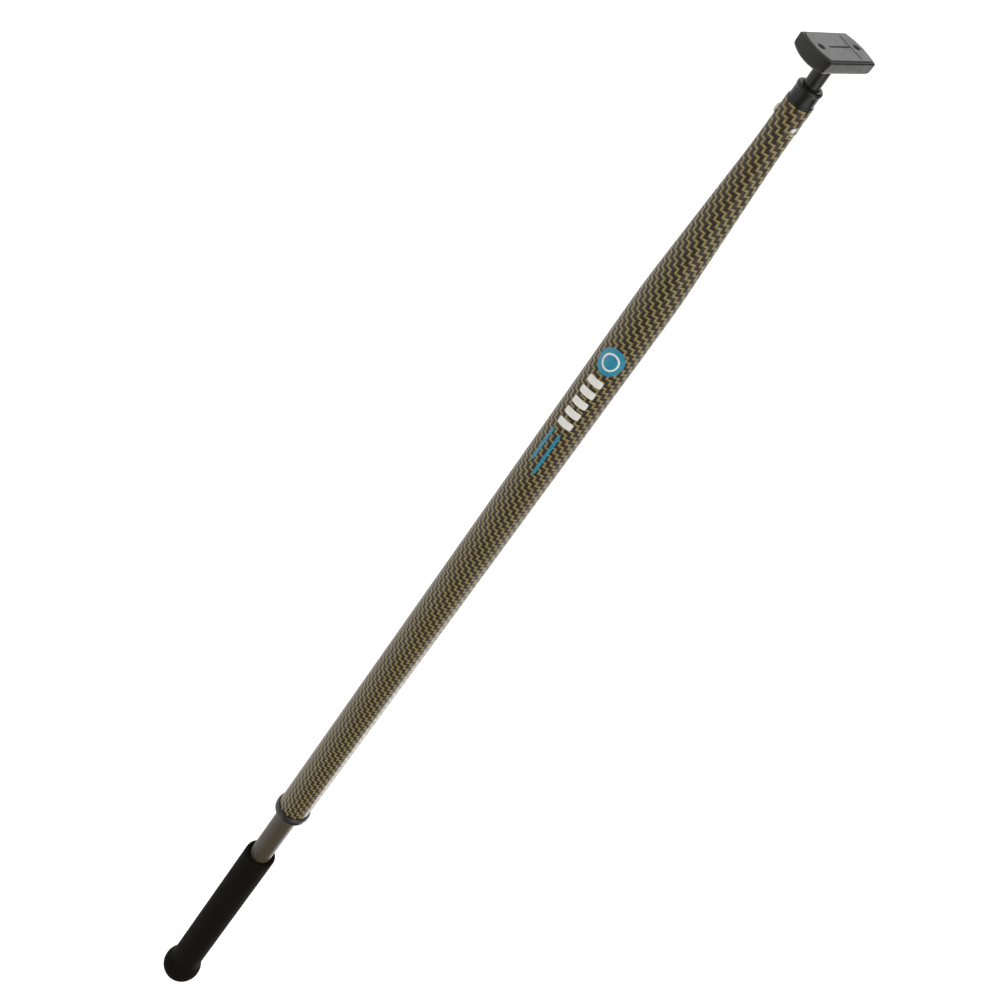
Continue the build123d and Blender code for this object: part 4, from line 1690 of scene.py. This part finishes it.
@dataclass
class InnerPole:
    """The sliding inner tube and the grip on its end."""

    alloy: bpy.types.Material
    rubber: bpy.types.Material
    tube_bore: float = 0.00755
    rim_round: float = 0.0026
    mouth_radius: float = 0.0101
    mouth_depth: float = 0.0022
    ball_radius: float = 0.0162
    grip_radius: float = 0.0127
    blend_radius: float = 0.014
    bore_gap: float = 0.00003
    tube_stations: int = 40
    grip_stations: int = 24

    def build(self) -> list[bpy.types.Object]:
        """Build the inner tube and the grip."""
        return [self.make_tube(), self.make_grip()]

    def make_tube(self) -> bpy.types.Object:
        """Build the inner tube with broken edges."""
        low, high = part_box("inner_tube")
        radius = high.y
        wall_middle = (radius + self.tube_bore) / 2
        corners = [(low.x, wall_middle, 0.0), (low.x, radius, 0.0003)]
        for step in range(1, self.tube_stations):
            corners.append((low.x + (high.x - low.x) * step / self.tube_stations, radius, 0.0))
        corners += [
            (high.x, radius, 0.0003), (high.x, self.tube_bore, 0.0003), (low.x, self.tube_bore, 0.0003),
        ]
        mesh = turned_mesh("slide_tube", rounded(corners, steps=3), segments=128)
        piece = link_object("slide_tube", mesh, self.alloy)
        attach(piece, Body.INNER_POLE.value)
        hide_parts("inner_tube")
        return piece

    def make_grip(self) -> bpy.types.Object:
        """Build the grip: rolled rim, parallel handle, hollow blend and ball."""
        low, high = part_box("grip")
        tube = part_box("inner_tube")[1]
        bore = tube.y + self.bore_gap
        ball_x = high.x - self.ball_radius
        reach = math.sqrt(
            (self.ball_radius + self.blend_radius) ** 2 - (self.grip_radius + self.blend_radius) ** 2)
        blend_x = ball_x - reach
        blend_end = math.degrees(math.atan2(-(self.grip_radius + self.blend_radius), reach))
        ball_start = 180.0 + blend_end
        crest = self.grip_radius - self.rim_round
        corners = [
            (tube.x, 0.0, 0.0), (tube.x, bore, 0.0), (low.x + self.mouth_depth, bore, 0.0),
            (low.x + self.mouth_depth, self.mouth_radius - 0.0002, 0.0004),
            (low.x + 0.0003, self.mouth_radius, 0.0002), (low.x, self.mouth_radius + 0.0002, 0.0002),
            (low.x, crest, 0.0002),
        ]
        corners += arc_points((low.x + self.rim_round, crest), self.rim_round, 170.0, 90.0, 10)
        handle_start = low.x + self.rim_round
        for step in range(1, self.grip_stations):
            place = handle_start + (blend_x - handle_start) * step / self.grip_stations
            corners.append((place, self.grip_radius, 0.0))
        corners += arc_points(
            (blend_x, self.grip_radius + self.blend_radius), self.blend_radius, -90.0, blend_end, 12)
        ball = arc_points((ball_x, 0.0), self.ball_radius, ball_start, 0.0, 40)
        corners += ball[1:-1] + [(high.x, 0.0, 0.0)]
        mesh = turned_mesh("hand_grip", rounded(corners, steps=4), segments=144)
        piece = link_object("hand_grip", mesh, self.rubber)
        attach(piece, Body.INNER_POLE.value)
        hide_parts("grip")
        return piece


@dataclass
class HiddenWorks:
    """The pieces inside the pole, which keep their CAD shape."""

    finishes: dict[str, bpy.types.Material]

    def build(self) -> list[bpy.types.Object]:
        """Give each carried-over CAD node its finish."""
        pieces = []
        for name, finish in self.finishes.items():
            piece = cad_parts[name]
            piece.data.materials.clear()
            piece.data.materials.append(finish)
            pieces.append(piece)
        return pieces


@dataclass
class Studio:
    """A pale floor, soft studio light and the camera."""

    camera_place: tuple[float, float, float] = (-0.29581, -0.71877, 0.38735)
    camera_aim: tuple[float, float, float] = (0.35082, -0.01471, -0.00036)
    camera_up: tuple[float, float, float] = (-0.63564, 0.16899, -0.75326)
    lens_mm: float = 59.5
    sensor_mm: float = 36.0
    floor_level: float = -1.35
    floor_flat: float = 2.6
    floor_reach: float = 22.0
    floor_rise: float = 0.22
    floor_ease: float = 1.5
    floor_segments: int = 72
    flat_rings: int = 4
    rising_rings: int = 24
    overhead_power: float = 3.1
    overhead_spread: float = 84.0
    overhead_from: tuple[float, float, float] = (-0.25, -0.1, 1.0)
    room_glow: float = 0.11
    floor_colour: tuple[float, float, float] = (0.97, 0.97, 0.97)
    far_box_place: tuple[float, float, float] = (2.15, 1.25, 0.60)
    far_box_aim: tuple[float, float, float] = (0.65, 0.0, 0.0)
    far_box_sides: tuple[float, float] = (0.5, 0.55)
    far_box_power: float = 5.0
    backdrop_place: tuple[float, float, float] = (3.2, 3.6, 1.4)
    backdrop_aim: tuple[float, float, float] = (0.4, 0.0, 0.0)
    backdrop_sides: tuple[float, float] = (5.0, 2.4)
    backdrop_power: float = 54.0

    def build(self) -> None:
        """Set up the camera, the floor, the lights and the surroundings."""
        self.make_camera()
        self.make_floor()
        self.make_lights()
        self.make_surroundings()

    def make_camera(self) -> None:
        """Stand the camera beside the pole, turned as the picture is."""
        data = bpy.data.cameras.new("studio_camera")
        data.lens = self.lens_mm
        data.sensor_width = self.sensor_mm
        data.clip_start = 0.01
        camera = bpy.data.objects.new("studio_camera", data)
        bpy.context.scene.collection.objects.link(camera)
        forward = (Vector(self.camera_aim) - Vector(self.camera_place)).normalized()
        right = forward.cross(Vector(self.camera_up)).normalized()
        up = right.cross(forward)
        turn = Matrix((right, up, -forward)).transposed().to_4x4()
        camera.matrix_world = Matrix.Translation(Vector(self.camera_place)) @ turn
        bpy.context.scene.camera = camera

    def make_floor(self) -> None:
        """Lay a pale dished floor, low enough that the pole clears it however the neck bends."""
        reach = self.floor_reach - self.floor_flat
        distances = [
            self.floor_flat * step / self.flat_rings for step in range(1, self.flat_rings + 1)
        ]
        distances += [
            self.floor_flat + reach * step / self.rising_rings
            for step in range(1, self.rising_rings + 1)
        ]
        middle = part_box("outer_tube")[1].x / 2
        shape = bmesh.new()
        rings = []
        for distance in distances:
            past = max(0.0, distance - self.floor_flat)
            height = self.floor_level + self.floor_rise * past * past / (past + self.floor_ease)
            ring = []
            for step in range(self.floor_segments):
                angle = 2 * math.pi * step / self.floor_segments
                place = (middle + distance * math.cos(angle), distance * math.sin(angle), height)
                ring.append(shape.verts.new(place))
            rings.append(ring)
        shape.faces.new(rings[0])
        for near, far in zip(rings, rings[1:]):
            for step in range(self.floor_segments):
                after = (step + 1) % self.floor_segments
                shape.faces.new([near[step], far[step], far[after], near[after]])
        bmesh.ops.recalc_face_normals(shape, faces=shape.faces)
        mesh = as_mesh(shape, "studio_floor")
        mesh.shade_smooth()
        floor = link_object("studio_floor", mesh, self.floor_material())

    def floor_material(self) -> bpy.types.Material:
        """Build the floor's node tree.

        Returns:
            A pale, matte paper sweep with a faint mottle.
        """
        material = new_material("pale_paper")
        nodes, links = material.node_tree.nodes, material.node_tree.links
        output = nodes.new("ShaderNodeOutputMaterial")
        output.label = "Paper surface"
        output.location = (600, 0)
        shader = nodes.new("ShaderNodeBsdfPrincipled")
        shader.label = "Matte paper"
        shader.location = (300, 0)
        place = nodes.new("ShaderNodeTexCoord")
        place.label = "Place on the floor"
        place.location = (-600, 0)
        mottle = nodes.new("ShaderNodeTexNoise")
        mottle.label = "Faint mottle"
        mottle.location = (-350, 0)
        tone = nodes.new("ShaderNodeMix")
        tone.label = "Paper tone"
        tone.location = (0, 0)
        mottle.inputs["Scale"].default_value = 30.0
        tone.data_type = "RGBA"
        tone.inputs["A"].default_value = (*self.floor_colour, 1.0)
        tone.inputs["B"].default_value = (*(min(1.0, value * 1.02) for value in self.floor_colour), 1.0)
        shader.inputs["Roughness"].default_value = 0.9
        links.new(place.outputs["Object"], mottle.inputs["Vector"])
        links.new(mottle.outputs["Fac"], tone.inputs["Factor"])
        links.new(tone.outputs["Result"], shader.inputs["Base Color"])
        links.new(shader.outputs["BSDF"], output.inputs["Surface"])
        return material

    def add_softbox(
        self, name: str, place: tuple[float, float, float], aim: tuple[float, float, float],
        size: tuple[float, float], power: float,
    ) -> None:
        """Hang one soft box.

        Args:
            name: The light's name.
            place: Where it hangs.
            aim: The point that it faces.
            size: Its two sides.
            power: Its power in watts.
        """
        data = bpy.data.lights.new(name, "AREA")
        data.shape = "RECTANGLE"
        data.size, data.size_y = size
        data.energy = power
        light = bpy.data.objects.new(name, data)
        bpy.context.scene.collection.objects.link(light)
        light.location = place
        light.rotation_euler = (Vector(aim) - Vector(place)).to_track_quat("-Z", "Y").to_euler()

    def make_lights(self) -> None:
        """Light the room evenly from overhead and hang two soft boxes beyond the pole."""
        data = bpy.data.lights.new("even_overhead", "SUN")
        data.energy = self.overhead_power
        data.angle = math.radians(self.overhead_spread)
        light = bpy.data.objects.new("even_overhead", data)
        bpy.context.scene.collection.objects.link(light)
        light.rotation_euler = Vector(self.overhead_from).to_track_quat("Z", "Y").to_euler()
        self.add_softbox(
            "far_box", self.far_box_place, self.far_box_aim, self.far_box_sides, self.far_box_power)
        self.add_softbox(
            "backdrop", self.backdrop_place, self.backdrop_aim, self.backdrop_sides, self.backdrop_power)

    def make_surroundings(self) -> None:
        """Fill the room with soft white light."""
        world = bpy.data.worlds.new("studio_room")
        bpy.context.scene.world = world
        world.use_nodes = True
        tree = world.node_tree
        nodes, links = tree.nodes, tree.links
        nodes.clear()
        output = nodes.new("ShaderNodeOutputWorld")
        output.label = "Room"
        output.location = (300, 0)
        glow = nodes.new("ShaderNodeBackground")
        glow.label = "White walls"
        glow.location = (0, 0)
        glow.inputs["Color"].default_value = (1.0, 1.0, 1.0, 1.0)
        glow.inputs["Strength"].default_value = self.room_glow
        links.new(glow.outputs["Background"], output.inputs["Surface"])
        bpy.context.scene.view_settings.view_transform = "Standard"


# ---------------------------------------------------------------------------------------------
# Building
# ---------------------------------------------------------------------------------------------


def main() -> None:
    """Build every sub-assembly in order and report its pieces."""
    logging.basicConfig(level=logging.INFO, format="%(message)s")
    Studio().build()

    block_rubber = MouldedSkin(
        "block_rubber", (0.007, 0.0065, 0.005), (0.012, 0.0115, 0.009),
        roughness=0.36, grain_size=0.0005, grain_depth=0.00002)
    plate_plastic = MouldedSkin(
        "plate_plastic", (0.066, 0.066, 0.065), (0.1, 0.1, 0.098),
        roughness=0.36, grain_size=0.0009, grain_depth=0.000003, ior=1.5)
    plug_plastic = MouldedSkin(
        "plug_plastic", (0.007, 0.007, 0.006), (0.011, 0.011, 0.0095),
        roughness=0.28, grain_size=0.0005, grain_depth=0.00002, ior=1.34)
    collar_plastic = MouldedSkin(
        "collar_plastic", (0.012, 0.011, 0.009), (0.02, 0.019, 0.016),
        roughness=0.38, grain_size=0.0005, grain_depth=0.00002)
    grip_rubber = MouldedSkin(
        "grip_rubber", (0.0055, 0.0048, 0.0033), (0.0068, 0.006, 0.0043),
        roughness=0.8, grain_size=0.0005, grain_depth=0.00001, scuff_share=0.06, ior=1.12)
    slide_plastic = MouldedSkin(
        "slide_plastic", (0.7, 0.7, 0.66), (0.6, 0.59, 0.55),
        roughness=0.3, grain_size=0.001, grain_depth=0.00001)
    cam_plastic = MouldedSkin(
        "cam_plastic", (0.25, 0.05, 0.04), (0.2, 0.045, 0.036),
        roughness=0.35, grain_size=0.001, grain_depth=0.00001)
    lock_plastic = MouldedSkin(
        "lock_plastic", (0.02, 0.02, 0.022), (0.03, 0.03, 0.03),
        roughness=0.4, grain_size=0.0008, grain_depth=0.00002)
    seal_rubber = MouldedSkin(
        "seal_rubber", (0.008, 0.008, 0.008), (0.014, 0.014, 0.014),
        roughness=0.45, grain_size=0.0005, grain_depth=0.00002)
    rivet_alloy = DrawnMetal(
        "rivet_alloy", (0.52, 0.5, 0.45), (0.36, 0.34, 0.3),
        metallic=1.0, roughness=0.45, drawing=Drawing.EVERY_WAY, line_depth=0.00002)
    steel = DrawnMetal(
        "steel", (0.5, 0.49, 0.47), (0.32, 0.31, 0.3),
        metallic=1.0, roughness=0.4, drawing=Drawing.EVERY_WAY, line_depth=0.00002)
    inner_alloy = DrawnMetal(
        "inner_alloy", (0.062, 0.048, 0.03), (0.05, 0.039, 0.025),
        metallic=0.0, roughness=0.45, drawing=Drawing.ALONG_POLE, line_depth=0.00003, ior=1.3)
    # The darker gold and black colours are the painted shade in the dips between tows.
    laminate = WovenLaminate(
        "woven_laminate", gold=(0.30, 0.235, 0.095), gold_painted_shade=(0.10, 0.072, 0.026),
        black=(0.034, 0.025, 0.014), black_painted_shade=(0.007, 0.005, 0.003),
        gold_share=0.42, tow_relief=0.00018)
    blue = PrintedFilm("trim_blue", (0.02, 0.21, 0.32), (0.045, 0.26, 0.35))
    white = PrintedFilm("trim_white", (0.72, 0.71, 0.66), (0.62, 0.6, 0.54))

    sub_assemblies = (
        RubberJoint(block_rubber.material(), plate_plastic.material()),
        HeadPlug(plug_plastic.material(), rivet_alloy.material(), steel.material()),
        OuterTube(laminate.material(), blue.material(), white.material()),
        EndCollar(collar_plastic.material()),
        InnerPole(inner_alloy.material(), grip_rubber.material()),
        HiddenWorks({
            "neck_tail": bpy.data.materials["block_rubber"], "guide_bush": slide_plastic.material(),
            "wiper_ring": seal_rubber.material(), "glide_ring": bpy.data.materials["slide_plastic"],
            "cam_ring": cam_plastic.material(), "cam_washer": bpy.data.materials["steel"],
            "cam_screw": bpy.data.materials["steel"], "lock_plug": lock_plastic.material(),
            "lock_pins": bpy.data.materials["steel"], "end_plug": bpy.data.materials["lock_plastic"],
        }),
    )
    for sub_assembly in sub_assemblies:
        for piece in sub_assembly.build():
            faces = len(piece.data.polygons)
            LOG.info("%s: %s, %d faces", type(sub_assembly).__name__, piece.name, faces)


if __name__ == "__main__":
    main()
